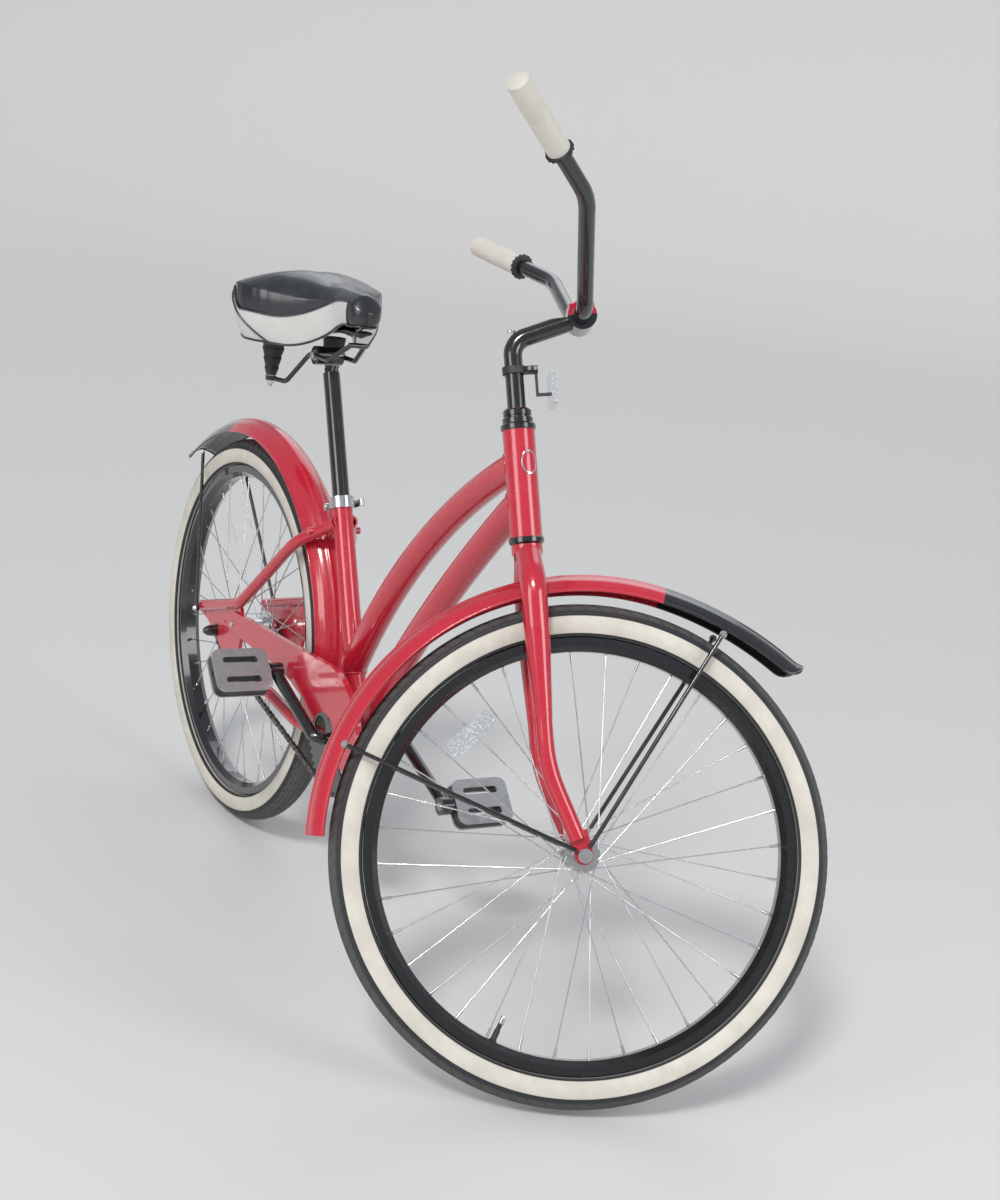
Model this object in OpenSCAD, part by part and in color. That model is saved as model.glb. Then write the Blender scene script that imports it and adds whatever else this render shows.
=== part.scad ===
// Step-through beach cruiser with one saddle, a coaster brake and full fenders.
// +X is forward, +Y is the rider's left and +Z is up. The origin is the point
// where the rear tyre stands on the floor, in the middle plane of the frame.

/* [Frame] */
// Distance between the two axles
wheelbase = 1071; // [1060:1:1200]
// Bottom bracket ahead of the rear axle
bb_x = 462; // [455:1:480]
// Height of the bottom bracket
bb_z = 291; // [280:1:300]
// Seat tube angle from the floor
seat_angle = 66.6; // [65:0.1:70]
// Seat tube length from the bottom bracket
seat_tube_len = 378; // [350:1:450]
// Head tube angle from the floor
head_angle = 68.3; // [67:0.1:70]
// Bottom of the head tube, along the steering axis
head_low = 426; // [420:1:460]
// Head tube length
head_len = 146; // [135:1:180]
// Diameter of the two swept main tubes
main_d = 42; // [36:1:46]
// Bulge of the upper tube above its chord
upper_bulge = 42; // [25:1:50]
// Bulge of the down tube above its chord
down_bulge = 20; // [5:1:28]
// Seatstay diameter
seatstay_d = 19; // [14:1:20]
// Chainstay diameter
chainstay_d = 20; // [16:1:22]
// Wall of the frame tubes
tube_wall = 1.6; // [1.2:0.1:2]

/* [Wheels] */
// Outer radius of both tyres
wheel_r = 333; // [325:1:336]
// Width of the tyres
tyre_w = 54; // [44:1:57]
// Outer width of the rims
rim_w = 36; // [30:1:38]
// Spoke diameter
spoke_d = 2; // [1.8:0.1:2.3]
// Spokes in each wheel, a multiple of four
spoke_count = 36; // [28:4:36]

/* [Steering] */
// Turn of the bars to the left at rest
steer_at_rest = 64; // [0:1:70]
// How far the front axle lies ahead of the steering axis
fork_rake = 40; // [36:1:60]
// Height of the stem's corner above the head tube
stem_rise = 122; // [110:1:150]
// Reach of the stem to the middle of the bars
stem_reach = 96; // [70:1:100]
// Handlebar tube diameter
bar_d = 22.2; // [22:0.1:25.4]
// Grip length
grip_len = 128; // [110:1:135]
// Grip diameter
grip_d = 32; // [30:1:36]

/* [Seat] */
// Seatpost diameter
post_d = 27.2; // [25.4:0.1:27.2]
// Seatpost length above the clamp at rest
post_out = 205; // [150:1:240]
// Seatpost length inside the seat tube
post_in = 90; // [80:1:120]
// Saddle width
saddle_w = 250; // [220:1:270]
// Saddle length
saddle_len = 272; // [250:1:290]

/* [Drive] */
// Teeth on the chainring
ring_teeth = 44; // [40:1:46]
// Teeth on the rear sprocket
cog_teeth = 18; // [16:1:20]
// Crank length between the centres
crank_len = 168; // [160:1:175]
// Right crank's angle above the line to the rear
crank_angle = 22; // [0:1:45]
// Tilt of the right pedal, front edge down
pedal_tilt = 48; // [0:1:60]
// Radial gap of everything that turns on a shaft
run_gap = 0.05; // [0.02:0.01:0.1]

/* [Fenders] */
// Crown radius of the fenders above the tyre
fender_gap = 34; // [28:1:40]
// Fender width
fender_w = 66; // [62:1:70]
// Fender sheet thickness
fender_t = 1.6; // [1:0.1:2]

/* [Hidden] */

red = "#d8304a";
black = "#1c1d20";
steel = "#b9bcc0";
grip_cream = "#ece8df";
$fn = 64;

// Where the main points of the frame lie
axle_z = wheel_r;
foot = [wheelbase - fork_rake * sin(head_angle), 0, wheel_r - fork_rake * cos(head_angle)];
head_dir = [-cos(head_angle), 0, sin(head_angle)];
seat_dir = [-cos(seat_angle), 0, sin(seat_angle)];
bb = [bb_x, 0, bb_z];
head_r = 22;
steerer_r = 14.3;
cup_h = 9;
seat_tube_r = 16.5;
fit_gap = 0.05;
shell_r = 28.5;
shell_half = 34;
cup_r = 25.6;
post_r = post_d / 2;
upper_head = foot + head_dir * (head_low + head_len - 44);
upper_seat = bb + seat_dir * 112;
down_head = foot + head_dir * (head_low + 52);
rear_half = 55;
front_half = 50;
drop_t = 6;
chain_y = -44;
pitch = 12.7;
ring_r = pitch / (2 * sin(180 / ring_teeth));
cog_r = pitch / (2 * sin(180 / cog_teeth));
rim_in = wheel_r - 64.5;
bead_r = wheel_r - 52.5;
tyre_r = tyre_w / 2;
tyre_c = wheel_r - tyre_r;
fender_r = wheel_r + fender_gap;
crank_dir = [-cos(crank_angle), 0, sin(crank_angle)];
pedal_y = 94;
pedal_len = 95;

// ---------- helpers ----------

function unit(v) = v / norm(v);

// A solid bar from a to b
module rod(a, b, r) {
    d = b - a;
    translate(a)
        rotate([0, acos(d[2] / norm(d)), atan2(d[1], d[0])])
            cylinder(h = norm(d), r = r);
}

// Places children with X, Y and Z along three unit vectors, at p
module place(p, x, y, z) {
    multmatrix([[x[0], y[0], z[0], p[0]],
        [x[1], y[1], z[1], p[1]],
        [x[2], y[2], z[2], p[2]],
        [0, 0, 0, 1]])
        children();
}

// One bend at corner b between points a and c; it is a shade thicker than
// the straights, which run a little way into its ends
module bend(a, b, c, rho, r, wall) {
    u = unit(b - a);
    v = unit(c - b);
    turn = acos(u * v);
    n = unit(v - u * (u * v));
    start = b - u * rho * tan(turn / 2);
    place(start + n * rho, -n, u, cross(-n, u))
        rotate_extrude(angle = turn, $fn = 180)
            translate([rho, 0])
                difference() {
                    circle(r + swell, $fn = 48);
                    if (wall > 0) circle(r - wall - swell, $fn = 48);
                }
}

swell = 0.15;
run_in = 1.5;

function cut_back(a, b, c, rho) = rho * tan(acos(unit(b - a) * unit(c - b)) / 2);

// A pipe, or a solid bar when wall is 0, through points with rounded corners
module pipe(pts, rho, r, wall = 0) {
    last = len(pts) - 1;
    for (i = [0 : last - 1]) {
        d = unit(pts[i + 1] - pts[i]);
        back = i == 0 ? 0 : cut_back(pts[i - 1], pts[i], pts[i + 1], rho[i - 1]);
        ahead = i == last - 1 ? 0 : cut_back(pts[i], pts[i + 1], pts[i + 2], rho[i]);
        a = pts[i] + d * (i == 0 ? 0 : back - run_in);
        b = pts[i + 1] - d * (i == last - 1 ? 0 : ahead - run_in);
        if (wall > 0)
            difference() {
                rod(a, b, r);
                rod(a - d, b + d, r - wall);
            }
        else
            rod(a, b, r);
    }
    for (i = [1 : 1 : last - 1]) bend(pts[i - 1], pts[i], pts[i + 1], rho[i - 1], r, wall);
}

// An arched pipe in the middle plane from a to b, bulging upwards and backwards
module arch(a, b, bulge, r, wall = 0) {
    half = norm(b - a) / 2;
    rho = (half * half + bulge * bulge) / (2 * bulge);
    turn = 2 * asin(half / rho);
    along = unit(b - a);
    out = cross([0, 1, 0], along);
    c = (a + b) / 2 - out * (rho - bulge);
    place(c, unit(a - c), cross([0, -1, 0], unit(a - c)), [0, -1, 0])
        rotate_extrude(angle = turn, $fn = 1080)
            translate([rho, 0])
                difference() {
                    circle(r, $fn = 48);
                    if (wall > 0) circle(r - wall, $fn = 48);
                }
}

// The steering frame: origin beside the front axle, +Z up the steering axis
module steered() {
    translate(foot)
        rotate([0, head_angle - 90, 0])
            rotate([0, 0, steer_at_rest])
                children();
}

// The same frame without the turn, for what is fixed to the head tube
module headed() {
    translate(foot)
        rotate([0, head_angle - 90, 0])
            children();
}

// Along the seat tube: origin at the bottom bracket, +Z up the seat tube
module seated() {
    translate(bb)
        rotate([0, seat_angle - 90, 0])
            children();
}

// A wheel lies about the Y axis through the origin; these two place it
module at_rear() {
    translate([0, 0, axle_z]) children();
}
module at_front() {
    steered() translate([fork_rake, 0, 0]) rotate([0, 90 - head_angle, 0]) children();
}

// A shape turned about the Y axis from a profile in radius and Y
module turned(from = 0, sweep = 360) {
    rotate([90, 0, 0])
        rotate_extrude(angle = sweep, start = from, $fn = 180)
            children();
}

// A mirrored pair, left and right
module both_sides() {
    children();
    mirror([0, 1, 0]) children();
}

// A cylinder along Y, centred on y
module disc(r, y, w) {
    translate([0, y + w / 2, 0]) rotate([90, 0, 0]) cylinder(h = w, r = r);
}

// A ring or disc profile turned about Y, given as [radius, y] points
module lathe(pts, from = 0, sweep = 360) {
    turned(from, sweep) polygon([for (q = pts) [q[0], -q[1]]]);
}

// A flat plate in the XZ plane, from y to y - t
module plate(y, t) {
    translate([0, y, 0]) rotate([90, 0, 0]) linear_extrude(t) children();
}

// A rectangle with round corners, centred
module rounded(w, h, r) {
    square([w - 2 * r, h], center = true);
    square([w, h - 2 * r], center = true);
    for (x = [-1, 1], y = [-1, 1])
        translate([x * (w / 2 - r), y * (h / 2 - r)]) circle(r, $fn = 32);
}

// ---------- frame ----------

module seat_tube_solid() {
    seated() cylinder(h = seat_tube_len, r = seat_tube_r);
}

module head_tube_solid() {
    headed() translate([0, 0, head_low]) cylinder(h = head_len, r = head_r);
}

module shell_solid() {
    translate(bb) disc(shell_r, 0, 2 * shell_half);
}

module head_tube() {
    color(red)
        difference() {
            head_tube_solid();
            headed() translate([0, 0, head_low - 1]) cylinder(h = head_len + 2, r = 17.5);
        }
}

module upper_tube() {
    color(red)
        difference() {
            arch(upper_head, upper_seat, upper_bulge, main_d / 2, tube_wall);
            head_tube_solid();
            seat_tube_solid();
        }
}

module down_tube() {
    color(red)
        difference() {
            arch(down_head, bb, down_bulge, main_d / 2, tube_wall);
            head_tube_solid();
            shell_solid();
            seat_tube_solid();
            arch(upper_head, upper_seat, upper_bulge, main_d / 2);
        }
}

module seat_tube() {
    color(red)
        difference() {
            seat_tube_solid();
            shell_solid();
            seated() cylinder(h = seat_tube_len + 1, r = post_r + fit_gap);
            seated()
                translate([-seat_tube_r, 0, seat_tube_len - 30])
                    cube([seat_tube_r * 2, 2, 70], center = true);
        }
}

module bottom_bracket_shell() {
    color(red)
        difference() {
            shell_solid();
            translate(bb) disc(cup_r + fit_gap, 0, 2 * shell_half + 2);
        }
}

stay_side = rear_half + drop_t / 2 + 3;
stay_top = bb + seat_dir * (seat_tube_len - 38);
seatstay_pts = [stay_top + [0, -13, 0], [262, -50, 556], [92, -stay_side, 407],
    [-72, -stay_side, 358]];
chainstay_pts = [bb + [-6, -20, -6], [385, -27, 270], [318, -44, 272],
    [88, -stay_side, 312]];

// The fender's bridge, as a direction and distance from the rear axle
bridge_dir = unit([296, 0, 250]);
bridge_out = 387.5;

module seatstay_solid() {
    pipe(seatstay_pts, [110, 60], seatstay_d / 2);
}

module chainstay_solid() {
    pipe(chainstay_pts, [70, 90], chainstay_d / 2);
}

module dropout_solid() {
    plate(-rear_half, drop_t)
        polygon([[-73, 348], [-70, 358], [92, 407], [112, 372], [98, 308], [80, 300],
            [46, 302], [28, 309], [6, 321], [-14, 330], [-40, 342]]);
}

module seatstays() {
    color(red) {
        both_sides()
            difference() {
                pipe(seatstay_pts, [110, 60], seatstay_d / 2, tube_wall);
                seat_tube_solid();
                dropout_solid();
                translate([0, 0, 300]) cube(600);
            }
        difference() {
            at_rear() translate(bridge_dir * bridge_out) disc(6, 0, 90);
            both_sides() seatstay_solid();
        }
    }
}

module chainstays() {
    color(red) {
        both_sides()
            difference() {
                pipe(chainstay_pts, [70, 90], chainstay_d / 2, tube_wall);
                shell_solid();
                dropout_solid();
            }
        difference() {
            translate([388, 0, 272]) disc(7, 0, 50);
            both_sides() chainstay_solid();
        }
    }
}

module dropouts() {
    color(red)
        both_sides()
            difference() {
                dropout_solid();
                hull() {
                    translate([0, 0, axle_z]) disc(4.9, -rear_half, 30, $fn = 32);
                    translate([-50, 0, axle_z - 14]) disc(4.9, -rear_half, 30, $fn = 32);
                }
                translate([-52, 0, 352]) disc(2.5, -rear_half, 30);
                translate([38, 0, 360]) disc(2.5, -rear_half, 30);
                translate([78, 0, 366]) disc(2.5, -rear_half, 30);
            }
}

module headset_cups() {
    color(black)
        headed() {
            translate([0, 0, head_low - cup_h]) cup();
            translate([0, 0, head_low + head_len + cup_h]) rotate([180, 0, 0]) cup();
        }
}

// One headset cup with its pressed skirt, flange down
module cup() {
    rotate_extrude()
        polygon([[steerer_r + run_gap, 0], [22, 0], [24, 2], [24, cup_h - 1], [23, cup_h],
            [17.5 - fit_gap, cup_h], [17.5 - fit_gap, cup_h + 12],
            [steerer_r + run_gap, cup_h + 12]]);
}

collar_h = 15;
ear_x = -26;

module seat_clamp() {
    color(steel)
        seated()
            translate([0, 0, seat_tube_len - collar_h])
                difference() {
                    union() {
                        cylinder(h = collar_h + 3, r = 20.5);
                        translate([ear_x - 6, -9, 1]) cube([14, 18, collar_h - 2]);
                    }
                    translate([0, 0, -1])
                        cylinder(h = collar_h + 1, r = seat_tube_r + fit_gap);
                    cylinder(h = collar_h + 5, r = post_r + fit_gap);
                    translate([ear_x - 8, -1.5, -1]) cube([22, 3, collar_h + 6]);
                    translate([ear_x, 0, collar_h / 2]) disc(2.6, 0, 30);
                }
}

module seat_clamp_skewer() {
    color(steel)
        seated()
            translate([ear_x, 0, seat_tube_len - collar_h / 2])
                union() {
                    disc(2.5, 1.5, 41);
                    disc(6, -13, 8);
                    translate([0, 19.5, 0]) cylinder(h = 6, r = 3.2, center = true);
                }
}

// The lever turns about an axis along the seat tube, through the skewer's end
module seat_lever() {
    color(steel)
        seated()
            translate([ear_x, 19.5, seat_tube_len - collar_h / 2])
                difference() {
                    union() {
                        cylinder(h = 13, r = 9.4, center = true);
                        translate([22, 6, 0]) rotate([0, 0, 4])
                            cube([44, 4, 11], center = true);
                        translate([44, 7.5, 0]) cylinder(h = 11, r = 4, center = true);
                    }
                    cube([8, 40, 7], center = true);
                    translate([-12, 0, 0]) cube([16, 40, 7], center = true);
                }
}

// ---------- rear axle and brake ----------

axle_r = 4.76;
// The left end past the nut is turned down a little, for a plate to slip over
axle_end_r = 4.5;

module rear_axle() {
    color(steel)
        at_rear() {
            disc(axle_r, -5, 154);
            disc(axle_end_r, 76, 12);
            lathe([[axle_r, -55], [8.5, -55], [8.5, -48], [7, -48], [7, -37], [11.95, -36],
                [11.95, -26], [axle_r, -24]]);
            lathe([[axle_r, 24], [11.95, 26], [11.95, 47.5], [9, 47.5], [9, 48],
                [axle_r, 48]]);
            lathe([[axle_r, 51], [8.5, 51], [8.5, 55], [axle_r, 55]]);
        }
}

module rear_axle_nuts() {
    color(black)
        at_rear() {
            nut_hole = axle_r + fit_gap;
            lathe([[nut_hole, -61], [12, -61], [12, -63], [9.5, -63.5], [9.5, -72], [8, -78],
                [4, -84], [0, -84.5], [0, -82.2], [nut_hole, -82.2]]);
            lathe([[nut_hole, 61], [12, 61], [12, 63], [9.5, 63.5], [9.5, 72], [nut_hole, 72]]);
        }
}

module brake_arm() {
    strap = [118, stay_side - 1.5, 306.4];
    along = unit(chainstay_pts[2] - chainstay_pts[3]);
    flipped = [along[0], -along[1], along[2]];
    color(black)
        union() {
            plate(51, 2.8)
                difference() {
                    union() {
                        translate([0, axle_z]) circle(15);
                        polygon([[-6, 346], [10, 345], [56, 312], [82, 296], [130, 289],
                            [132, 279], [78, 281], [40, 302], [0, 319]]);
                    }
                    translate([0, axle_z]) circle(axle_r + fit_gap);
                }
            difference() {
                union() {
                    rod(strap - flipped * 7, strap + flipped * 7, 12.5);
                    translate([108, 45.5, 282]) cube([20, 4.5, 16]);
                }
                mirror([0, 1, 0]) rod(chainstay_pts[2], chainstay_pts[3],
                    chainstay_d / 2 + fit_gap);
            }
        }
}

// ---------- fenders ----------

fender_drop = 20;
fender_arc = (pow(fender_w / 2, 2) + fender_drop * fender_drop) / (2 * fender_drop);
tip_r = 490;
tip_sweep = 25;
rear_border = 104;
front_border = 90;
fender_shift = [4, 0, 5];

// Cross-section of the fender sheet with its crown at radius rad
module sheet(rad) {
    translate([rad - fender_arc, 0])
        difference() {
            circle(fender_arc);
            circle(fender_arc - fender_t);
            translate([-2 * fender_arc, 0])
                square([6 * fender_arc - 2 * fender_drop, 3 * fender_arc], center = true);
        }
}

// The tail piece leaves the fender along its tangent on a wider arc
module tail(at, ahead) {
    mid = (fender_r - tip_r) * [cos(at), 0, sin(at)];
    translate(mid)
        turned(ahead ? at - tip_sweep : at, tip_sweep)
            sheet(tip_r);
}

module rear_fender() {
    color(red)
        at_rear()
            difference() {
                turned(-4, rear_border + 4) sheet(fender_r);
                rod(bridge_dir * (fender_r - 20), bridge_dir * (fender_r + 20), 2.4 + fit_gap);
            }
}

module rear_fender_tip() {
    color(black) at_rear() tail(rear_border, false);
}

module front_fender() {
    color(red)
        difference() {
            at_front() translate(fender_shift) turned(front_border, 104) sheet(fender_r);
            steered() translate([0, 0, 300]) cylinder(h = 100, r = 3);
        }
}

module front_fender_tip() {
    color(black) at_front() translate(fender_shift) tail(front_border, true);
}

module rear_fender_stays() {
    color(black)
        both_sides() {
            rod([-62, -74.6, 356], [-184, -36.5, 612], 3);
            translate([-62, 0, 356]) disc(6, -74, 5.4);
        }
}

module front_fender_stays() {
    color(black)
        at_front()
            both_sides() {
                rod([3, -59.5, 12], [92, -37, 335], 3);
                rod([-12, -59.5, 3], [-342, -37, 44], 3);
                difference() {
                    lathe([[5.5, -57], [9.5, -57], [9.5, -62.5], [5.5, -62.5]]);
                    disc(5.4, -60, 20);
                }
            }
}

// ---------- chain guard, chain and screws ----------

guard_y = -64;
guard_r = 118;

module guard_outline() {
    slope = 3;
    difference() {
        union() {
            translate([80, 371]) circle(18);
            polygon([[79, 389], [79, 353], [260, 351], [330, 343], [462, 300], [462, 400],
                [462 - guard_r * sin(slope), 291 + guard_r * cos(slope)]]);
            translate([bb_x, bb_z]) circle(guard_r, $fn = 180);
        }
        translate([bb_x, bb_z]) circle(42);
        translate([78, 366]) circle(2.4 + fit_gap);
        polygon([[300, 120], [330, 342], [378, 330], [398, 302], [430, bb_z],
            [bb_x, bb_z], [640, 230], [640, 120]]);
    }
}

module chain_guard() {
    lip_r = guard_r - 0.3;
    lip_from = guard_y - 0.7;
    color(red)
        union() {
            plate(guard_y, 1.5) guard_outline();
            translate([118, lip_from, 389.1]) rotate([0, -3, 0]) cube([336, 9.7, 1.4]);
            translate(bb)
                lathe([[lip_r - 1.4, lip_from], [lip_r, lip_from], [lip_r, guard_y + 9],
                    [lip_r - 1.4, guard_y + 9]], -14, 106);
        }
}

module frame_screws() {
    color(steel) {
        translate([78, 0, 366]) disc(2.4, -63, 15);
        translate([78, 0, 366]) disc(5, -66.7, 2.4);
        at_rear() {
            rod(bridge_dir * (fender_r - 3), bridge_dir * (bridge_out - 6), 2.4);
            rod(bridge_dir * (fender_r - 4.6), bridge_dir * (fender_r - 2.2), 5);
        }
    }
}

// Side view of the chain's path, grown outwards by e
module chain_path(e) {
    a = asin((ring_r - cog_r) / norm([bb_x, bb_z - axle_z]));
    t = atan2(bb_z - axle_z, bb_x);
    up = [cos(90 + a + t), sin(90 + a + t)];
    dn = [cos(-90 - a + t), sin(-90 - a + t)];
    hub = [0, axle_z];
    ctr = [bb_x, bb_z];
    translate(ctr) circle(ring_r + e, $fn = 180);
    translate(hub) circle(cog_r + e, $fn = 90);
    polygon([hub, hub + up * (cog_r + e), ctr + up * (ring_r + e), ctr,
        ctr + dn * (ring_r + e), hub + dn * (cog_r + e)]);
}

module chain() {
    color(steel)
        union() {
            for (y = [-1, 1])
                plate(chain_y + y * 2.9 + 0.6, 1.2)
                    difference() {
                        chain_path(4.6);
                        chain_path(-4);
                    }
            plate(chain_y + 3.5, 7)
                difference() {
                    chain_path(4.6);
                    chain_path(3.9);
                }
        }
}

// Outline of a toothed wheel
module toothed(r, teeth) {
    polygon([for (k = [0 : teeth - 1], s = [[-0.32, -3.6], [-0.12, 3.2], [0.12, 3.2],
        [0.32, -3.6]]) let (a = (k + s[0]) * 360 / teeth, q = r + s[1])
        [q * cos(a), q * sin(a)]]);
}

// ---------- bottom bracket, crank and pedals ----------

cone_r = 17;
spindle_r = 11;
arm_r = 9.5;
eye_r = 14;
eye_w = 20;
thread_r = 7;
right_y = -78;
left_y = 70;

module bottom_bracket_cups() {
    color(steel)
        translate(bb)
            both_sides()
                lathe([[cone_r, -24], [cup_r, -24], [cup_r, -34], [29, -34], [29, -36.5],
                    [cone_r, -36.5]]);
}

module crank_cones() {
    color(steel)
        translate(bb) {
            both_sides()
                lathe([[spindle_r + fit_gap, -25], [cone_r - run_gap, -25],
                    [cone_r - run_gap, -37.5], [spindle_r + fit_gap, -37.5]]);
            lathe([[spindle_r + fit_gap, 38], [19, 38], [19, 44], [spindle_r + fit_gap, 44]]);
        }
}

module crank() {
    right_eye = crank_dir * crank_len + [0, right_y - 6, 0];
    left_eye = -crank_dir * crank_len + [0, left_y + 6, 0];
    color(black)
        translate(bb)
            difference() {
                union() {
                    pipe([right_eye, [0, right_y, 0], [0, left_y, 0], left_eye], [18, 18],
                        arm_r);
                    disc(spindle_r, -2, 100);
                    translate(crank_dir * crank_len) disc(eye_r, right_y - 6, eye_w);
                    translate(-crank_dir * crank_len) disc(eye_r, left_y + 6, eye_w);
                }
                translate(crank_dir * crank_len) disc(thread_r + fit_gap, right_y - 6, 30);
                translate(-crank_dir * crank_len) disc(thread_r + fit_gap, left_y + 6, 30);
            }
}

module chainring() {
    color(black)
        translate(bb)
            plate(chain_y + 1.4, 2.8)
                difference() {
                    toothed(ring_r, ring_teeth);
                    circle(spindle_r + fit_gap);
                    for (a = [0 : 72 : 288])
                        rotate(a + 36) translate([52, 0]) circle(20);
                }
}

// The two pedal axles screwed into the crank's eyes
module pedal_spindles() {
    color(steel)
        translate(bb) {
            translate(crank_dir * crank_len) spindle(-1, right_y - 6);
            translate(-crank_dir * crank_len) spindle(1, left_y + 6);
        }
}

module spindle(side, eye_y) {
    union() {
        disc(thread_r, eye_y, eye_w);
        disc(8.5, eye_y + side * (eye_w / 2 + 1.6), 3.2);
        disc(4, eye_y + side * 56, 96);
    }
}

// Pedals are drawn lying flat about their own spindle, side -1 is the right one
module pedal_at(side) {
    eye = side < 0 ? crank_dir * crank_len : -crank_dir * crank_len;
    y = side < 0 ? right_y - 6 : left_y + 6;
    translate(bb + eye + [0, y + side * (13 + pedal_len / 2), 0])
        rotate([0, pedal_tilt, 0])
            children();
}

module tread_plate() {
    difference() {
        rounded(73, pedal_len, 14);
        for (x = [-17, 17])
            translate([x, 0]) rounded(11, 60, 5.4);
    }
}

module pedal_core() {
    color(black)
        difference() {
            union() {
                translate([0, 0, -9.5])
                    linear_extrude(19)
                        difference() {
                            rounded(70, pedal_len - 3, 13);
                            for (x = [-17, 17]) translate([x, 0]) rounded(13, 62, 6.4);
                        }
                disc(9.4, 0, pedal_len - 4);
            }
            disc(4 + run_gap, 0, pedal_len + 10);
        }
}

module pedal_plates() {
    color(steel)
        for (z = [-1, 1])
            translate([0, 0, z * 11 - 1.5])
                union() {
                    linear_extrude(3) tread_plate();
                    for (x = [-31, 31], y = [-30 : 15 : 30])
                        translate([x, y, 1.5 + z * 1.5])
                            cylinder(h = 2, r = 1.6, center = true, $fn = 16);
                }
}

module right_pedal() {
    pedal_at(-1) pedal_plates();
}

module right_pedal_core() {
    pedal_at(-1) pedal_core();
}

module left_pedal() {
    pedal_at(1) pedal_plates();
}

module left_pedal_core() {
    pedal_at(1) pedal_core();
}

module rear_sprocket() {
    color(steel)
        at_rear()
            difference() {
                union() {
                    plate(chain_y + 1.2, 2.4) toothed(cog_r, cog_teeth);
                    disc(16, -42.5, 10);
                }
                disc(7 + run_gap, -42, 30);
            }
}

// ---------- wheels ----------

rear_flange_r = 31;
front_flange_r = 21;
rim_floor = bead_r - 1.5;

module rear_hub() {
    color(steel)
        at_rear()
            lathe([[12, -36.5], [20, -36.5], [20, -33], [33, -32.6], [33, -29.4], [21, -29],
                [18.5, -24], [18.5, 24], [21, 31], [33, 31.4], [33, 34.6], [20, 35],
                [18, 47], [12, 47]]);
}

module front_hub() {
    color(steel)
        at_front()
            lathe([[8, -42], [13, -42], [14, -36], [23, -35.6], [23, -32.4], [14, -32],
                [12.5, -26], [12.5, 26], [14, 32], [23, 32.4], [23, 35.6], [14, 36],
                [13, 42], [8, 42]]);
}

// Spokes cross three others between hub and rim; both sides share the rim
module lacing(hub_r, right_side, left_side) {
    for (n = [0 : spoke_count - 1]) {
        side = n % 2 == 0 ? -1 : 1;
        lead = floor(n / 2) % 2 == 0 ? 1 : -1;
        at = n * 360 / spoke_count;
        root = at + lead * 60;
        hub_y = (side < 0 ? right_side : left_side) + lead * 1.7;
        inner = [hub_r * cos(root), hub_y, hub_r * sin(root)];
        rim_y = side * 2 + lead * 1.2;
        outer = [rim_in * cos(at), rim_y, rim_in * sin(at)];
        rod(inner, outer, spoke_d / 2, $fn = 16);
        rod(outer - unit(outer - inner) * 14, outer, 2, $fn = 16);
    }
}

module rear_spokes() {
    color(steel) at_rear() lacing(rear_flange_r - 1.5, -31, 33);
}

module front_spokes() {
    color(steel) at_front() lacing(front_flange_r, -34, 34);
}

module rim_ring() {
    w = rim_w / 2;
    lathe([[rim_in, -w / 2], [rim_in, w / 2], [rim_in + 7, w], [bead_r + 7, w],
        [bead_r + 7, w - 2.4], [bead_r + 0.4, w - 2.4], [rim_floor - 1, w - 5],
        [rim_floor - 1, 5 - w], [bead_r + 0.4, 2.4 - w], [bead_r + 7, 2.4 - w],
        [bead_r + 7, -w], [rim_in + 7, -w]]);
}

module rear_rim() {
    color(black) at_rear() rim_ring();
}

module front_rim() {
    color(black) at_front() rim_ring();
}

module tyre_ring() {
    wall = 3;
    neck = bead_r + 8;
    neck_w = rim_w / 2 - 2.7;
    turned()
        difference() {
            union() {
                intersection() {
                    translate([tyre_c, 0]) circle(tyre_r);
                    translate([neck, -40]) square(80);
                }
                translate([bead_r + 0.7, -neck_w]) square([8, 2 * neck_w]);
            }
            intersection() {
                translate([tyre_c, 0]) circle(tyre_r - wall);
                translate([neck + 2.5, -40]) square(80);
            }
            translate([bead_r, 3 - neck_w]) square([14, 2 * neck_w - 6]);
        }
}

module rear_tyre() {
    color(black) at_rear() tyre_ring();
}

module front_tyre() {
    color(black) at_front() tyre_ring();
}

module tube_ring() {
    turned()
        translate([tyre_c + 2, 0])
            difference() {
                circle(tyre_r - 7);
                circle(tyre_r - 8.5);
            }
}

module rear_inner_tube() {
    color("#404040") at_rear() tube_ring();
}

module front_inner_tube() {
    color("#404040") at_front() tube_ring();
}

module spoke_reflector() {
    color("white")
        at_front()
            rotate([0, -150, 0])
                translate([215, -9, 0])
                    rotate([90, 0, 0])
                        linear_extrude(5)
                            rounded(26, 74, 8);
}

// ---------- fork and steering ----------

blade_y = front_half + 3;
steer_top = head_low + head_len + cup_h + 21;

module fork() {
    race = head_low - cup_h - 0.3;
    toe = [fork_rake - 7, -blade_y, 22];
    color(red)
        steered()
            difference() {
                union() {
                    translate([0, 0, race - 20]) cylinder(h = steer_top - race + 20, r = steerer_r);
                    translate([0, 0, race - 14]) cylinder(h = 14, r = 21);
                    both_sides() {
                        pipe([[0, -12, race - 16], [0, -blade_y, 362], [0, -blade_y, 298]], [45],
                            17.5, 1.8);
                        difference() {
                            translate([0, -blade_y, 180]) cylinder(h = 120, r1 = 12, r2 = 17.8);
                            translate([0, -blade_y, 179]) cylinder(h = 122, r1 = 10, r2 = 15.4);
                        }
                        pipe([[0, -blade_y, 183], [0, -blade_y, 118], toe], [200], 11.6, 1.8);
                        fork_end();
                    }
                }
                translate([0, 0, race - 2]) cylinder(h = 300, r = 12.75);
                both_sides() translate([fork_rake, 0, 0]) disc(4.9, -blade_y, 30);
            }
}

// Flat fork end with the axle's hole
module fork_end() {
    translate([fork_rake, -front_half, 0])
        rotate([90, 0, 0])
            linear_extrude(5)
                union() {
                    circle(12);
                    polygon([[-12, 0], [12, 0], [6, 34], [-19, 34]]);
                }
}

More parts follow.
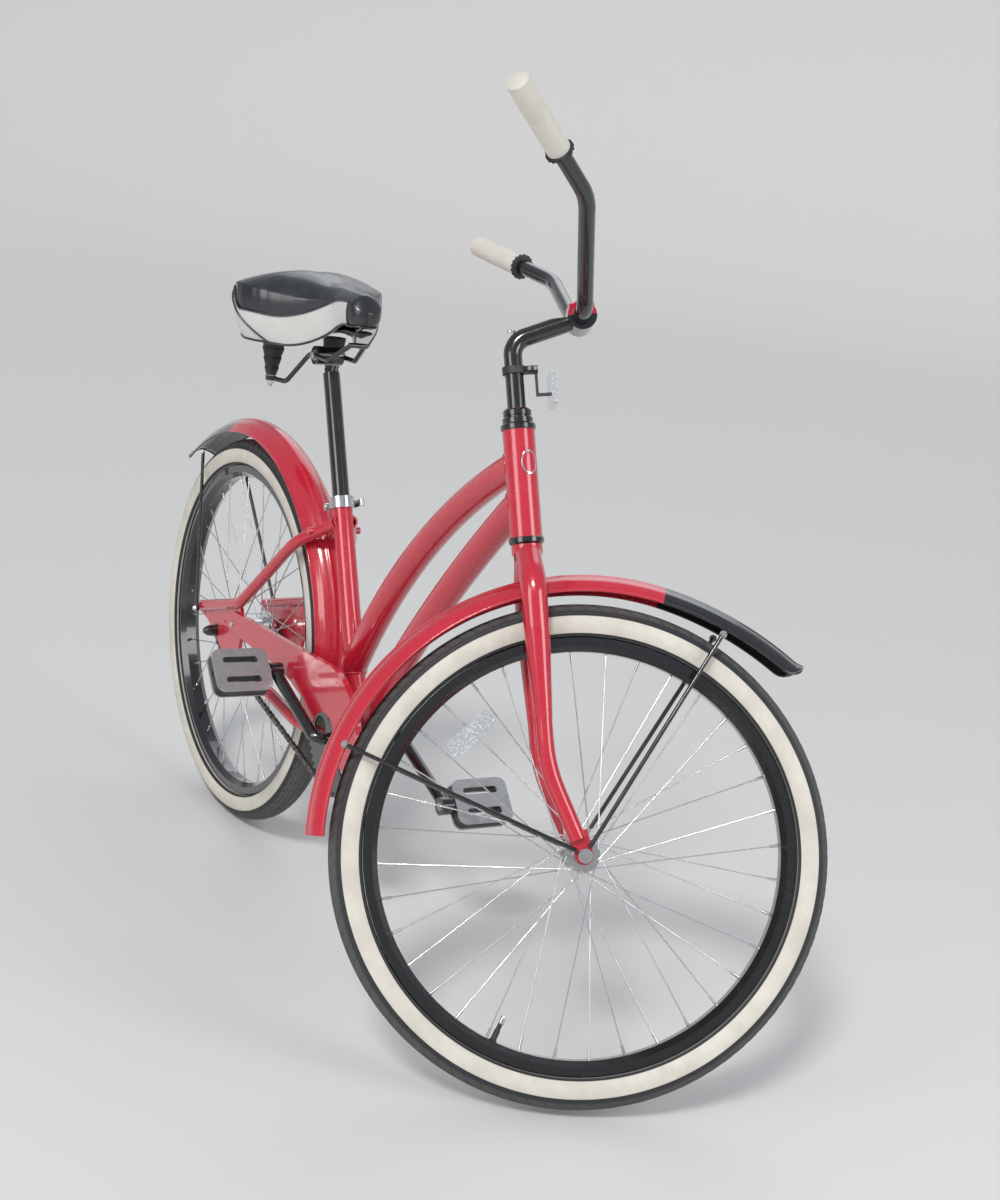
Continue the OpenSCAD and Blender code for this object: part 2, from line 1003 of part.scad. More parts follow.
module headset_nuts() {
    base = head_low + head_len + cup_h + 0.3;
    color(black)
        steered()
            translate([0, 0, base])
                rotate_extrude()
                    polygon([[steerer_r + fit_gap, 0], [21, 0], [21, 7], [18, 8], [18, 10],
                        [19.5, 10.5], [19.5, 17], [17, 20], [steerer_r + fit_gap, 20]]);
}

module front_axle() {
    color(steel)
        at_front() {
            disc(axle_r, 0, 144);
            both_sides() {
                lathe([[axle_r, -50], [8, -50], [8, -42.5], [7.95, -42], [7.95, -33],
                    [axle_r, -31]]);
                lathe([[axle_r, -55.1], [9, -55.1], [9, -56.8], [5.3, -56.8], [5.3, -62.8],
                    [9.5, -62.8], [9.5, -69], [axle_r, -69]]);
            }
        }
}

stem_corner = [0, 0, head_low + head_len + stem_rise];
clamp = stem_corner + [stem_reach, 0, 27];
bar_clamp_r = 12.7;
quill_r = 12.7;

module stem() {
    color(black)
        steered()
            difference() {
                union() {
                    pipe([[0, 0, head_low + head_len - 45], stem_corner, clamp], [26], quill_r);
                    translate(clamp) disc(20, 0, 46);
                }
                translate(clamp) disc(bar_clamp_r + fit_gap, 0, 80);
                translate(clamp + [-40, -40, 0.6]) cube(80);
            }
}

module stem_cap() {
    color(red)
        steered()
            translate(clamp)
                difference() {
                    union() {
                        disc(20, 0, 46);
                        translate([0, 0, 8]) cube([34, 46, 16], center = true);
                    }
                    disc(bar_clamp_r + fit_gap, 0, 80);
                    translate([-40, -40, -79.4]) cube(80);
                    for (x = [-14.5], y = [-15, 15])
                        translate([x, y, 13]) cylinder(h = 10, r = 3);
                }
}

bar_r = bar_d / 2;
bar_bend = clamp + [-8, 214, 106];
bar_end = bar_bend + 205 * unit([-94, 153, 100]);
bar_pts = [clamp, clamp + [0, 50, 0], bar_bend, bar_end];

module handlebar() {
    color(black)
        steered()
            both_sides()
                union() {
                    pipe(bar_pts, [60, 90], bar_r, 2);
                    difference() {
                        rod(clamp, clamp + [0, 34, 0], bar_clamp_r);
                        rod(clamp - [0, 1, 0], clamp + [0, 35, 0], bar_r - 1);
                    }
                }
}

module grips() {
    along = unit(bar_end - bar_bend);
    side = unit(cross(along, [0, 0, 1]));
    color(grip_cream)
        steered()
            both_sides()
                place(bar_end + along * 4, side, cross(-along, side), -along)
                    rotate_extrude()
                        polygon([[0, 0], [grip_d / 2 - 3, 0], [grip_d / 2, 3],
                            [grip_d / 2, grip_len - 6], [grip_d / 2 + 3.5, grip_len - 5],
                            [grip_d / 2 + 3.5, grip_len], [bar_r + fit_gap, grip_len],
                            [bar_r + fit_gap, 3.9], [0, 3.9]]);
}

ring_z = head_low + head_len + 82;

module reflector_bracket() {
    color(black)
        steered()
            union() {
                difference() {
                    union() {
                        translate([0, 0, ring_z - 5]) cylinder(h = 10, r = 16);
                        translate([12, -6, ring_z - 5]) cube([20, 12, 10]);
                    }
                    translate([0, 0, ring_z - 6]) cylinder(h = 12, r = quill_r + fit_gap);
                    translate([10, -0.8, ring_z - 6]) cube([30, 1.6, 12]);
                }
                translate([20, 0, ring_z]) disc(3.5, 0, 20);
                translate([28, 0, ring_z]) disc(3.5, 0, 20);
                translate([28, -5, ring_z - 36]) cube([3, 10, 40]);
                translate([28, -5, ring_z - 36]) cube([18, 10, 3]);
            }
}

module front_reflector() {
    color("white")
        steered()
            translate([46, 0, ring_z - 30])
                rotate([90, 0, 90])
                    linear_extrude(8)
                        rounded(58, 44, 8);
}

// ---------- seat ----------

post_top = seat_tube_len + post_out;
saddle_z = 872;
saddle_nose = 348;

module seatpost() {
    color(black)
        seated()
            difference() {
                translate([0, 0, seat_tube_len - post_in])
                    cylinder(h = post_in + post_out, r = post_r);
                translate([0, 0, seat_tube_len - post_in - 1])
                    cylinder(h = post_in + post_out - 5, r = post_r - 2);
            }
}

// Yoke, rails and clamp that carry the saddle's top
module saddle_frame() {
    color(black)
        difference() {
            union() {
                translate([211, 0, 851]) disc(15, 0, 46);
                both_sides() {
                    pipe([[316, -12, 884], [262, -24, 851], [196, -24, 851], [150, -41, 797],
                        [118, -54, 797]], [20, 20, 16], 4);
                    translate([118, -54, 794]) cylinder(h = 8, r = 9);
                }
                translate([316, 0, 884]) disc(4, 0, 32);
            }
            seated() translate([0, 0, 100]) cylinder(h = post_top - 100 + 0.1, r = post_r + fit_gap);
        }
}

module saddle_springs() {
    color(black)
        both_sides()
            translate([118, -54, 802.3])
                rotate_extrude()
                    polygon([[0, 0], [8, 0], [12, 12], [11, 15], [15, 28], [14, 31], [18, 44],
                        [17, 47], [19, 66], [0, 66]]);
}

// Padded top: a wide, high back, a narrow nose and a flat base
module saddle_pad() {
    back = saddle_nose - saddle_len;
    color(black)
        intersection() {
            hull($fn = 32) {
                both_sides() {
                    translate([back + 60, saddle_w / 2 - 46, 916]) sphere(r = 46, $fn = 32);
                    translate([back + 30, saddle_w / 2 - 75, 929]) sphere(r = 32, $fn = 32);
                }
                translate([back + 66, 0, 917]) sphere(r = 60, $fn = 32);
                translate([saddle_nose - 26, 0, 931]) sphere(r = 26, $fn = 32);
            }
            translate([0, -200, saddle_z]) cube(400);
        }
}

// ---------- kickstand ----------

kick_pivot = [165, 84, 272];
kick_foot = [145, 194, 12];
down_dir = unit(kick_foot - kick_pivot);
up_dir = unit([-97, 20, -12]);
kick_axis = unit(cross(down_dir, up_dir));

module kickstand_bracket() {
    color(black)
        union() {
            difference() {
                union() {
                    rod([150, 57, 301.5], [180, 54.6, 296.3], 14);
                    rod([165, 58, 296], kick_pivot - kick_axis * 9, 9);
                }
                mirror([0, 1, 0]) chainstay_solid();
                at_rear() disc(wheel_r + 10, 0, 76);
                rod(kick_pivot - kick_axis * 8.4, kick_pivot + kick_axis * 30, 40);
            }
            rod(kick_pivot - kick_axis * 11, kick_pivot + kick_axis * 10, 5);
            rod(kick_pivot + kick_axis * 8.4, kick_pivot + kick_axis * 12, 9);
        }
}

module kickstand_leg() {
    color(black)
        difference() {
            union() {
                rod(kick_pivot - kick_axis * 8, kick_pivot + kick_axis * 8, 11);
                rod(kick_pivot, kick_foot, 7.5);
                translate(kick_foot) sphere(r = 12);
            }
            rod(kick_pivot - kick_axis * 20, kick_pivot + kick_axis * 20, 5 + run_gap);
        }
}

head_tube();
upper_tube();
down_tube();
seat_tube();
bottom_bracket_shell();
chainstays();
seatstays();
dropouts();
headset_cups();
seat_clamp();
seat_clamp_skewer();
rear_axle();
rear_axle_nuts();
brake_arm();
rear_fender();
rear_fender_tip();
rear_fender_stays();
chain_guard();
frame_screws();
chain();
bottom_bracket_cups();
kickstand_bracket();
seat_lever();
kickstand_leg();
crank();
chainring();
crank_cones();
pedal_spindles();
right_pedal();
right_pedal_core();
left_pedal();
left_pedal_core();
rear_sprocket();
rear_hub();
rear_spokes();
rear_rim();
rear_tyre();
rear_inner_tube();
front_hub();
front_spokes();
front_rim();
front_tyre();
front_inner_tube();
spoke_reflector();
fork();
headset_nuts();
front_axle();
front_fender();
front_fender_tip();
front_fender_stays();
stem();
stem_cap();
handlebar();
grips();
reflector_bracket();
front_reflector();
seatpost();
saddle_frame();
saddle_springs();
saddle_pad();
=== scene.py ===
# %% [markdown]
# # A step-through cruiser bicycle, dressed
# The bicycle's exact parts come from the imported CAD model. This lesson loads them as a fixed
# frame, paints them, and then builds the parts that need a finer shape than a lathe or a bent
# tube gives: tread, saddle, rolled fenders, grips, chain links and welds.

# %% Load the frame
import math

import bmesh
import bpy
import numpy as np
from mathutils import Matrix


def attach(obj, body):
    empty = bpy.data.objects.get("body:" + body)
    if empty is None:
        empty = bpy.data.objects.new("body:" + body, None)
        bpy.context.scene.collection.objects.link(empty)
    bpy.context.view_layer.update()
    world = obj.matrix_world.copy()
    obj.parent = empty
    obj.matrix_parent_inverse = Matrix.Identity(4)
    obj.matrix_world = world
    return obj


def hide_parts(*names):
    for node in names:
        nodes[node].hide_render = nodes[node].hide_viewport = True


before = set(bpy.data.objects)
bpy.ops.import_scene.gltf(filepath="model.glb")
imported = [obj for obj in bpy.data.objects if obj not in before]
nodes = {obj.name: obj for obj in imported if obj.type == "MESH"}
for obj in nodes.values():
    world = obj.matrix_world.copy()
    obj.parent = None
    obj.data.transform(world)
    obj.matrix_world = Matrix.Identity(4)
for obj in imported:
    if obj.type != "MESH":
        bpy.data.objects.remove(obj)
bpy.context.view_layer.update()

print("pieces from CAD:", len(nodes))

# %% [markdown]
# ## Where things are
# Two places matter besides the row's own origin: the steering frame, whose Z runs up the
# steering axis and which is turned to the left, and the two wheels' frames. Each is a 3 x 3
# matrix of directions and a point, so a whole array of points moves with one product.

# %% The bicycle's own sizes, in metres
MM = 0.001
WHEELBASE = 1.071
WHEEL_R = 0.333
TYRE_R = 0.027
TYRE_C = WHEEL_R - TYRE_R
RAKE = 0.040
HEAD_ANGLE = math.radians(68.3)
STEER = math.radians(64.0)
BB = np.array([0.462, 0.0, 0.291])


def turn(axis, angle):
    """Rotation matrix about the row's X, Y or Z axis by an angle in radians."""
    c, s = math.cos(angle), math.sin(angle)
    if axis == "x":
        return np.array([[1, 0, 0], [0, c, -s], [0, s, c]])
    if axis == "y":
        return np.array([[c, 0, s], [0, 1, 0], [-s, 0, c]])
    return np.array([[c, -s, 0], [s, c, 0], [0, 0, 1]])


LEAN = turn("y", HEAD_ANGLE - math.pi / 2)
STEERED = LEAN @ turn("z", STEER)
FOOT = np.array([WHEELBASE, 0, WHEEL_R]) - LEAN @ np.array([RAKE, 0, 0])
FRONT_WHEEL = STEERED @ turn("y", math.pi / 2 - HEAD_ANGLE)
FRONT_AXLE = FOOT + STEERED @ np.array([RAKE, 0, 0])
REAR_AXLE = np.array([0, 0, WHEEL_R])
SEAT_ANGLE = math.radians(66.6)
SEATED = turn("y", SEAT_ANGLE - math.pi / 2)


def to_steered(points):
    """Points in the steering frame, in metres, carried into the row's frame."""
    return FOOT + np.asarray(points) @ STEERED.T


def to_front_wheel(points):
    """Points about the front axle carried into the row's frame."""
    return FRONT_AXLE + np.asarray(points) @ FRONT_WHEEL.T


def to_rear_wheel(points):
    """Points about the rear axle carried into the row's frame."""
    return REAR_AXLE + np.asarray(points)


print("front axle at", FRONT_AXLE.round(4))

# %% [markdown]
# ## Surfaces from arrays
# Nearly every piece here is a grid of points: a profile carried along a path, or a function
# of two parameters. One function turns a grid into faces, one carries a closed section along
# a path, and one makes a thin shell from an outer and an inner grid.


# %% Grids, sweeps and shells
def unit(v):
    """Vectors divided by their length, along the last axis."""
    v = np.asarray(v, float)
    return v / np.linalg.norm(v, axis=-1, keepdims=True)


def grid(points, wrap_u=False, wrap_v=False, uv=None):
    """Faces over a grid: (i, j) is joined to (i + 1, j + 1). Returns verts, faces and uv."""
    nu, nv = points.shape[:2]
    i = np.arange(nu if wrap_u else nu - 1)[:, None]
    j = np.arange(nv if wrap_v else nv - 1)[None, :]
    i2, j2 = (i + 1) % nu, (j + 1) % nv
    faces = np.stack([i * nv + j, i2 * nv + j, i2 * nv + j2, i * nv + j2], -1).reshape(-1, 4)
    if uv is None:
        u = np.linspace(0, 1, nu)[:, None].repeat(nv, 1)
        v = np.linspace(0, 1, nv)[None, :].repeat(nu, 0)
        uv = np.stack([u, v], -1)
    return points.reshape(-1, 3), faces, uv.reshape(-1, 2)


def merge(parts):
    """Several (verts, faces, uv) joined in one, with the face indices shifted."""
    verts, faces, uvs, base = [], [], [], 0
    for v, f, t in parts:
        verts.append(v)
        faces.append(f + base)
        uvs.append(t)
        base += len(v)
    return np.concatenate(verts), np.concatenate(faces), np.concatenate(uvs)


def path_frames(path, up, closed):
    """Side and normal along a path: side is up cross tangent, normal is tangent cross side."""
    if closed:
        tangent = np.roll(path, -1, 0) - np.roll(path, 1, 0)
    else:
        tangent = np.gradient(path, axis=0)
    tangent = unit(tangent)
    up = np.broadcast_to(np.asarray(up, float), path.shape)
    side = unit(np.cross(up, tangent))
    return side, np.cross(tangent, side)


def sweep(path, section, up=(0, 0, 1), closed=False, scale=None, caps=True):
    """A closed section of (side, normal) offsets carried along a path, scaled point by point."""
    path = np.asarray(path, float)
    side, normal = path_frames(path, up, closed)
    scale = np.ones(len(path)) if scale is None else np.asarray(scale, float)
    if caps and not closed:
        path = np.concatenate([path[:1], path, path[-1:]])
        side = np.concatenate([side[:1], side, side[-1:]])
        normal = np.concatenate([normal[:1], normal, normal[-1:]])
        scale = np.concatenate([[0], scale, [0]])
    s = section[None] * scale[:, None, None]
    points = path[:, None] + s[..., :1] * side[:, None] + s[..., 1:] * normal[:, None]
    return grid(points, wrap_u=closed, wrap_v=True)


def ring(radius, count=16):
    """A circle of (side, normal) offsets."""
    a = np.arange(count) * 2 * math.pi / count
    return radius * np.stack([np.cos(a), np.sin(a)], -1)


def shell(outer, inner):
    """A thin closed wall: the outer grid, the inner grid turned over and four edge strips."""
    nu, nv = outer.shape[:2]
    loop = np.concatenate([outer, inner[:, ::-1]], axis=1)
    body = grid(loop, wrap_v=True)
    ends = [grid(np.stack([outer[k], inner[k]])) for k in (0, nu - 1)]
    return merge([body] + ends)


def smooth_step(x, low, high):
    """0 below low, 1 above high, with a soft start and stop between."""
    t = np.clip((x - low) / (high - low), 0, 1)
    return t * t * (3 - 2 * t)


made = []


def make(name, parts, body, material, replaces=(), flat=False):
    """Puts (verts, faces, uv) in a mesh, closes its seams, and hangs it on a body."""
    if isinstance(parts, list):
        parts = merge(parts)
    verts, faces, uv = parts
    mesh = bpy.data.meshes.new(name)
    mesh.from_pydata(verts.tolist(), [], faces.tolist())
    layer = mesh.uv_layers.new(name="UVMap")
    layer.data.foreach_set("uv", uv[faces.ravel()].ravel().astype(np.float32))
    bm = bmesh.new()
    bm.from_mesh(mesh)
    bmesh.ops.remove_doubles(bm, verts=bm.verts, dist=2e-6)
    bmesh.ops.dissolve_degenerate(bm, edges=bm.edges, dist=1e-7)
    bmesh.ops.recalc_face_normals(bm, faces=bm.faces)
    bm.to_mesh(mesh)
    bm.free()
    mesh.polygons.foreach_set("use_smooth", np.full(len(mesh.polygons), not flat))
    mesh.update()
    piece = bpy.data.objects.new(name, mesh)
    bpy.context.scene.collection.objects.link(piece)
    for m in material if isinstance(material, (list, tuple)) else [material]:
        mesh.materials.append(m)
    if not flat:
        mesh.set_sharp_from_angle(angle=math.radians(40))
    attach(piece, body)
    if replaces:
        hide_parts(*replaces)
    made.append(name)
    print(f"{name}: {len(mesh.polygons)} faces")
    return piece


# %% [markdown]
# ## Shader arithmetic
# A material is easier to read as a sum than as a web of boxes. A Value wraps one socket, and
# adding or multiplying Values adds the Math nodes. Finish.node makes any other node.


# %% A small language for materials
class Value:
    """One output socket; arithmetic on it adds Math nodes to its material."""

    def __init__(self, finish, socket):
        self.finish, self.socket = finish, socket

    def math(self, operation, *others):
        inputs = {k: v for k, v in enumerate((self,) + others)}
        return self.finish.node("ShaderNodeMath", {"operation": operation}, inputs)

    def __add__(self, other):
        return self.math("ADD", other)

    def __mul__(self, other):
        return self.math("MULTIPLY", other)

    def __sub__(self, other):
        return self.math("SUBTRACT", other)

    def __rsub__(self, other):
        return self.finish.node("ShaderNodeMath", {"operation": "SUBTRACT"}, {0: other, 1: self})

    __radd__, __rmul__ = __add__, __mul__

    def above(self, edge, soft):
        """0 below the edge and 1 above it, over a soft width."""
        return self.finish.node("ShaderNodeMapRange", {"interpolation_type": "SMOOTHSTEP"},
                                {"Value": self, "From Min": edge - soft, "From Max": edge + soft})

    def below(self, edge, soft):
        return 1.0 - self.above(edge, soft)


class Finish:
    """A material with one Principled shader, wired by expressions."""

    def __init__(self, name, colour, roughness=0.4, metallic=0.0, **constant):
        self.material = bpy.data.materials.new(name)
        self.material.use_nodes = True
        self.tree = self.material.node_tree
        self.shader = self.tree.nodes["Principled BSDF"]
        self.set("Base Color", (*colour, 1.0))
        self.set("Roughness", roughness)
        self.set("Metallic", metallic)
        for key, value in constant.items():
            self.set(key.replace("_", " "), value)
        self.where = self.node("ShaderNodeTexCoord", out="Object")
        self.material.diffuse_color = (*colour, 1.0)

    def set(self, name, value):
        """Sets one of the shader's sockets to a value or links a Value to it."""
        self.feed(self.shader.inputs[name], value)

    def feed(self, socket, value):
        if isinstance(value, Value):
            self.tree.links.new(value.socket, socket)
        else:
            if hasattr(socket.default_value, "__len__") and len(value) < len(socket.default_value):
                value = (*value, 1.0)
            socket.default_value = value

    def node(self, kind, settings=None, inputs=None, out=0):
        """Any node: its settings first, then the values or links of its sockets."""
        n = self.tree.nodes.new(kind)
        for key, value in (settings or {}).items():
            if key == "stops":
                for place, colour in value[:-1]:
                    n.color_ramp.elements.new(place).color = (*colour, 1.0)
                n.color_ramp.elements.remove(n.color_ramp.elements[0])
                last = n.color_ramp.elements[-1]
                last.position, last.color = value[-1][0], (*value[-1][1], 1.0)
            else:
                setattr(n, key, value)
        for key, value in (inputs or {}).items():
            self.feed(n.inputs[key], value)
        return Value(self, n.outputs[out])

    def uv(self):
        """The piece's own u and v as two Values."""
        both = self.node("ShaderNodeTexCoord", out="UV")
        split = self.node("ShaderNodeSeparateXYZ", inputs={0: both})
        n = split.socket.node
        return Value(self, n.outputs[0]), Value(self, n.outputs[1])

    def noise(self, scale, detail=3.0, rough=0.5, at=None, stretch=None):
        """Noise between 0 and 1; scale is in features per metre."""
        at = at or self.where
        if stretch:
            at = self.node("ShaderNodeMapping", inputs={"Vector": at, "Scale": stretch})
        return self.node("ShaderNodeTexNoise", {}, {"Vector": at, "Scale": scale, "Detail": detail,
                                                    "Roughness": rough})

    def cells(self, scale, feature="F1", at=None, out="Distance"):
        """Voronoi distance, which makes grain and pebbling."""
        return self.node("ShaderNodeTexVoronoi", {"feature": feature},
                         {"Vector": at or self.where, "Scale": scale}, out=out)

    def mix(self, mask, low, high):
        """Colour low where the mask is 0 and high where it is 1."""
        return self.node("ShaderNodeMix", {"data_type": "RGBA"}, {0: mask, 6: low, 7: high}, out=2)

    def bump(self, height, depth, strength=1.0, under=None):
        """A Bump node; depth in metres. Another bump may feed in under it."""
        inputs = {"Height": height, "Distance": depth, "Strength": strength}
        if under is not None:
            inputs["Normal"] = under
        return self.node("ShaderNodeBump", {}, inputs)


# %% [markdown]
# ## Paint
# Frame paint is a colour under a thick clear coat. Up close it has orange peel, a few fine
# scratches that only show in the gloss, and dust that dulls it in patches. The coat is the
# shader's own, so its weight and roughness are plain numbers.


# %% Coral red and black paint
def paint(name, colour, dust=(0.55, 0.42, 0.36), roughness=0.26):
    f = Finish(name, colour, roughness, Coat_Weight=1.0, Coat_Roughness=0.06)
    patches = f.noise(7.0, 5.0, 0.6)
    grime = f.noise(60.0, 6.0, 0.7).above(0.60, 0.10) * patches.above(0.50, 0.12)
    shade = f.mix(patches, tuple(c * 0.90 for c in colour), tuple(min(1, c * 1.08) for c in colour))
    f.set("Base Color", f.mix(grime * 0.03, shade, dust))
    scratch = f.noise(260.0, 2.0, 0.5, stretch=(1, 1, 0.05)).above(0.70, 0.03)
    f.set("Roughness", roughness + grime * 0.12 + scratch * 0.05)
    peel = f.bump(f.noise(380.0, 2.0), 0.00004, 0.3)
    f.set("Normal", f.bump(scratch, 0.00002, 0.15, under=peel))
    return f.material


RED = (0.56, 0.012, 0.035)
BLACK = (0.006, 0.0062, 0.0075)
red_paint = paint("coral_red_paint", RED)
black_paint = paint("gloss_black_paint", BLACK, dust=(0.16, 0.16, 0.15), roughness=0.22)
print("paints:", red_paint.name, black_paint.name)

# %% [markdown]
# ## Bare metal
# Plated parts are bright with faint swirl marks; turned parts show fine rings; the chain is
# dark with oil. All are fully metallic, so only colour, roughness and bump change.


# %% Metals
def metal(name, colour, roughness, tarnish, grain=420.0, grain_depth=0.00002):
    f = Finish(name, colour, roughness, 1.0)
    spots = f.noise(38.0, 6.0, 0.65).above(0.56, 0.14)
    fine = f.noise(grain, 3.0, 0.6)
    f.set("Base Color", f.mix(spots * 0.55, colour, tarnish))
    f.set("Roughness", roughness + spots * 0.18 + fine * 0.08)
    f.set("Normal", f.bump(fine, grain_depth, 0.6))
    return f.material


bright_steel = metal("bright_plated_steel", (0.74, 0.75, 0.77), 0.14, (0.46, 0.44, 0.41))
plain_steel = metal("turned_steel", (0.50, 0.50, 0.51), 0.32, (0.26, 0.23, 0.20))
oiled_steel = metal("oiled_chain_steel", (0.20, 0.19, 0.18), 0.34, (0.05, 0.045, 0.04))
cast_alloy = metal("cast_alloy", (0.58, 0.59, 0.60), 0.38, (0.30, 0.30, 0.30), 900.0, 0.00006)

# %% [markdown]
# ## Rubber, plastic and vinyl
# These differ mostly in their grain and how far they spread a highlight. Rubber is pebbled
# and dusty, moulded plastic has a spark-eroded texture, and the saddle's vinyl is shiny with
# a fine leather grain pressed in.


# %% Soft and moulded finishes
def moulded(name, colour, roughness, grain, depth, dust=0.25, dust_colour=(0.32, 0.30, 0.27),
            coat=0.0):
    f = Finish(name, colour, roughness, Coat_Weight=coat, Coat_Roughness=0.15)
    worn = f.noise(24.0, 5.0, 0.65).above(0.58, 0.16)
    pebble = f.cells(grain)
    f.set("Base Color", f.mix(worn * dust, colour, dust_colour))
    f.set("Roughness", roughness + worn * 0.14)
    f.set("Normal", f.bump(pebble, depth, 0.7, under=f.bump(f.noise(90.0), depth, 0.3)))
    return f.material


black_plastic = moulded("black_moulded_plastic", (0.018, 0.018, 0.019), 0.46, 1400.0, 0.00005)
black_rubber = moulded("black_rubber", (0.02, 0.02, 0.021), 0.55, 900.0, 0.00006)
grip_rubber = moulded("cream_grip_rubber", (0.70, 0.67, 0.60), 0.50, 1300.0, 0.00005, 0.30,
                      (0.50, 0.47, 0.42))
black_vinyl = moulded("black_saddle_vinyl", (0.013, 0.015, 0.020), 0.26, 1100.0, 0.00008, 0.10,
                      (0.10, 0.11, 0.12), coat=0.7)
white_vinyl = moulded("white_saddle_vinyl", (0.66, 0.66, 0.64), 0.40, 1100.0, 0.00008, 0.30,
                      (0.50, 0.50, 0.48), coat=0.15)


def prism_plastic():
    """Clear reflector plastic over a field of small cube corners."""
    f = Finish("prismatic_reflector", (0.86, 0.87, 0.88), 0.12, 0.35, Coat_Weight=1.0)
    cube = f.cells(330.0)
    f.set("Base Color", f.mix(cube.above(0.35, 0.2), (0.92, 0.93, 0.95), (0.55, 0.58, 0.62)))
    f.set("Normal", f.bump(cube, 0.0004, 0.8))
    return f.material


reflector_plastic = prism_plastic()

# %% [markdown]
# ## Tyre rubber
# The band of white rubber sits on the sidewall between two radii, so its colour follows the
# tyre's own v coordinate, which runs across the section. The tread is greyer with road dust,
# and thin moulding lines run round beside the band.


# %% Tyre finish
BAND_LOW, BAND_HIGH = 69.0, 119.0


def tyre_finish():
    f = Finish("whitewall_tyre", (0.03, 0.032, 0.035), 0.62)
    u, v = f.uv()
    across = ((v - 0.5) * 360.0).math("ABSOLUTE")
    band = across.above(BAND_LOW, 0.7) * across.below(BAND_HIGH, 0.7)
    tread = across.below(52.0, 6.0)
    dirt = f.noise(16.0, 6.0, 0.7)
    speck = f.noise(220.0, 4.0, 0.6)
    black = f.mix(tread * (dirt * 0.35 + 0.25), (0.022, 0.024, 0.028), (0.17, 0.165, 0.155))
    cream = f.mix(dirt.above(0.50, 0.22) * 0.55, (0.70, 0.67, 0.60), (0.46, 0.43, 0.37))
    f.set("Base Color", f.mix(band, black, cream))
    f.set("Roughness", 0.50 + tread * 0.18 + dirt * 0.12)
    lines = (across * 0.9).math("SINE") * across.above(52.0, 2.0) * (1.0 - band)
    f.set("Normal", f.bump(speck, 0.0001, 0.5, under=f.bump(lines, 0.00018, 0.5)))
    return f.material


tyre_rubber = tyre_finish()

# %% Put a finish on every CAD piece
FINISH_OF = {
    "head_tube upper_tube down_tube seat_tube bottom_bracket_shell chainstays seatstays dropouts "
    "fork chain_guard stem_cap": red_paint,
    "headset_cups headset_nuts rear_fender_stays front_fender_stays front_rim rear_rim crank "
    "chainring stem handlebar seatpost saddle_frame kickstand_bracket kickstand_leg "
    "rear_axle_nuts brake_arm": black_paint,
    "seat_clamp seat_clamp_skewer seat_lever frame_screws front_hub rear_hub front_spokes "
    "rear_spokes": bright_steel,
    "rear_axle front_axle bottom_bracket_cups crank_cones pedal_spindles": plain_steel,
    "rear_sprocket": oiled_steel,
    "right_pedal left_pedal": cast_alloy,
    "right_pedal_core left_pedal_core reflector_bracket": black_plastic,
    "front_inner_tube rear_inner_tube saddle_springs": black_rubber,
    "spoke_reflector front_reflector": reflector_plastic,
}
for names, material in FINISH_OF.items():
    for name in names.split():
        mesh = nodes[name].data
        mesh.materials.clear()
        mesh.materials.append(material)
print("finished CAD pieces:", sum(len(k.split()) for k in FINISH_OF))

# %% [markdown]
# ## Tyres
# The section is a circle that opens at the rim. Its radius changes with two parameters: where
# you are across the section and where you are round the wheel. Grooves are cut where those
# two give a block pattern, so the tread is real geometry and catches the light at its edge.


# %% Tread and sidewall
PITCHES = 96
AROUND = PITCHES * 10
ACROSS = 84


def tyre_points(to_row):
    """Radius from the section's centre = tyre radius - groove + whitewall's small step."""
    u = np.arange(AROUND)[:, None] / AROUND
    angle = np.linspace(-128, 128, ACROSS)[None, :]
    a = np.abs(angle)
    phase = (u * PITCHES + 0.5 * (angle > 0) + a / 60) % 1.0
    cross_cut = smooth_step(np.abs(phase - 0.5), 0.34, 0.40) * (a > 9) * (a < 50)
    groove = sum(np.exp(-((a - at) / 1.7) ** 2) for at in (10, 24, 38))
    cut = np.clip(cross_cut + groove, 0, 1) * smooth_step(56 - a, 0, 4)
    band = smooth_step(a, BAND_LOW - 1, BAND_LOW) * smooth_step(BAND_HIGH + 1 - a, 0, 1)
    shoulder = np.exp(-((a - 56) / 2.5) ** 2)
    r = TYRE_R - 0.0016 * cut + 0.0005 * band + 0.0004 * shoulder
    t = np.radians(angle)
    turn_u = 2 * math.pi * u
    radius = TYRE_C + r * np.cos(t)
    y = r * np.sin(t) * np.clip(1.0 + 0 * a, 0, 1)
    points = np.stack([radius * np.cos(turn_u), np.broadcast_to(y, radius.shape),
                       radius * np.sin(turn_u)], -1)
    uv = np.stack([np.broadcast_to(u, radius.shape),
                   np.broadcast_to(angle / 360 + 0.5, radius.shape)], -1)
    bead = points[:, [-1, 0]] * 1.0
    v1, f1, t1 = grid(points, wrap_u=True, uv=uv)
    v2, f2, t2 = grid(bead, wrap_u=True, uv=uv[:, [-1, 0]])
    return merge([(to_row(v1), f1, t1), (to_row(v2), f2, t2)])


make("rear_tyre_tread", tyre_points(to_rear_wheel), "rear_wheel", tyre_rubber,
     ["rear_tyre"])
make("front_tyre_tread", tyre_points(to_front_wheel), "front_wheel", tyre_rubber,
     ["front_tyre"])

# %% [markdown]
# ## Fenders
# A pressed steel fender is a deep arc with a raised rib down its crown and a rolled hem on
# both edges. The section is an arc with two small steps; it is carried round the wheel, and
# the black tail pieces leave along the tangent on a wider arc, with round corners and a lip.

# %% Fender section
FENDER_R = WHEEL_R + 0.034
HALF_W = 0.033
DROP = 0.020
ARC_R = (HALF_W ** 2 + DROP ** 2) / (2 * DROP)
SHEET = 0.0016
TAIL_R = 0.490
TAIL_SWEEP = 25.0


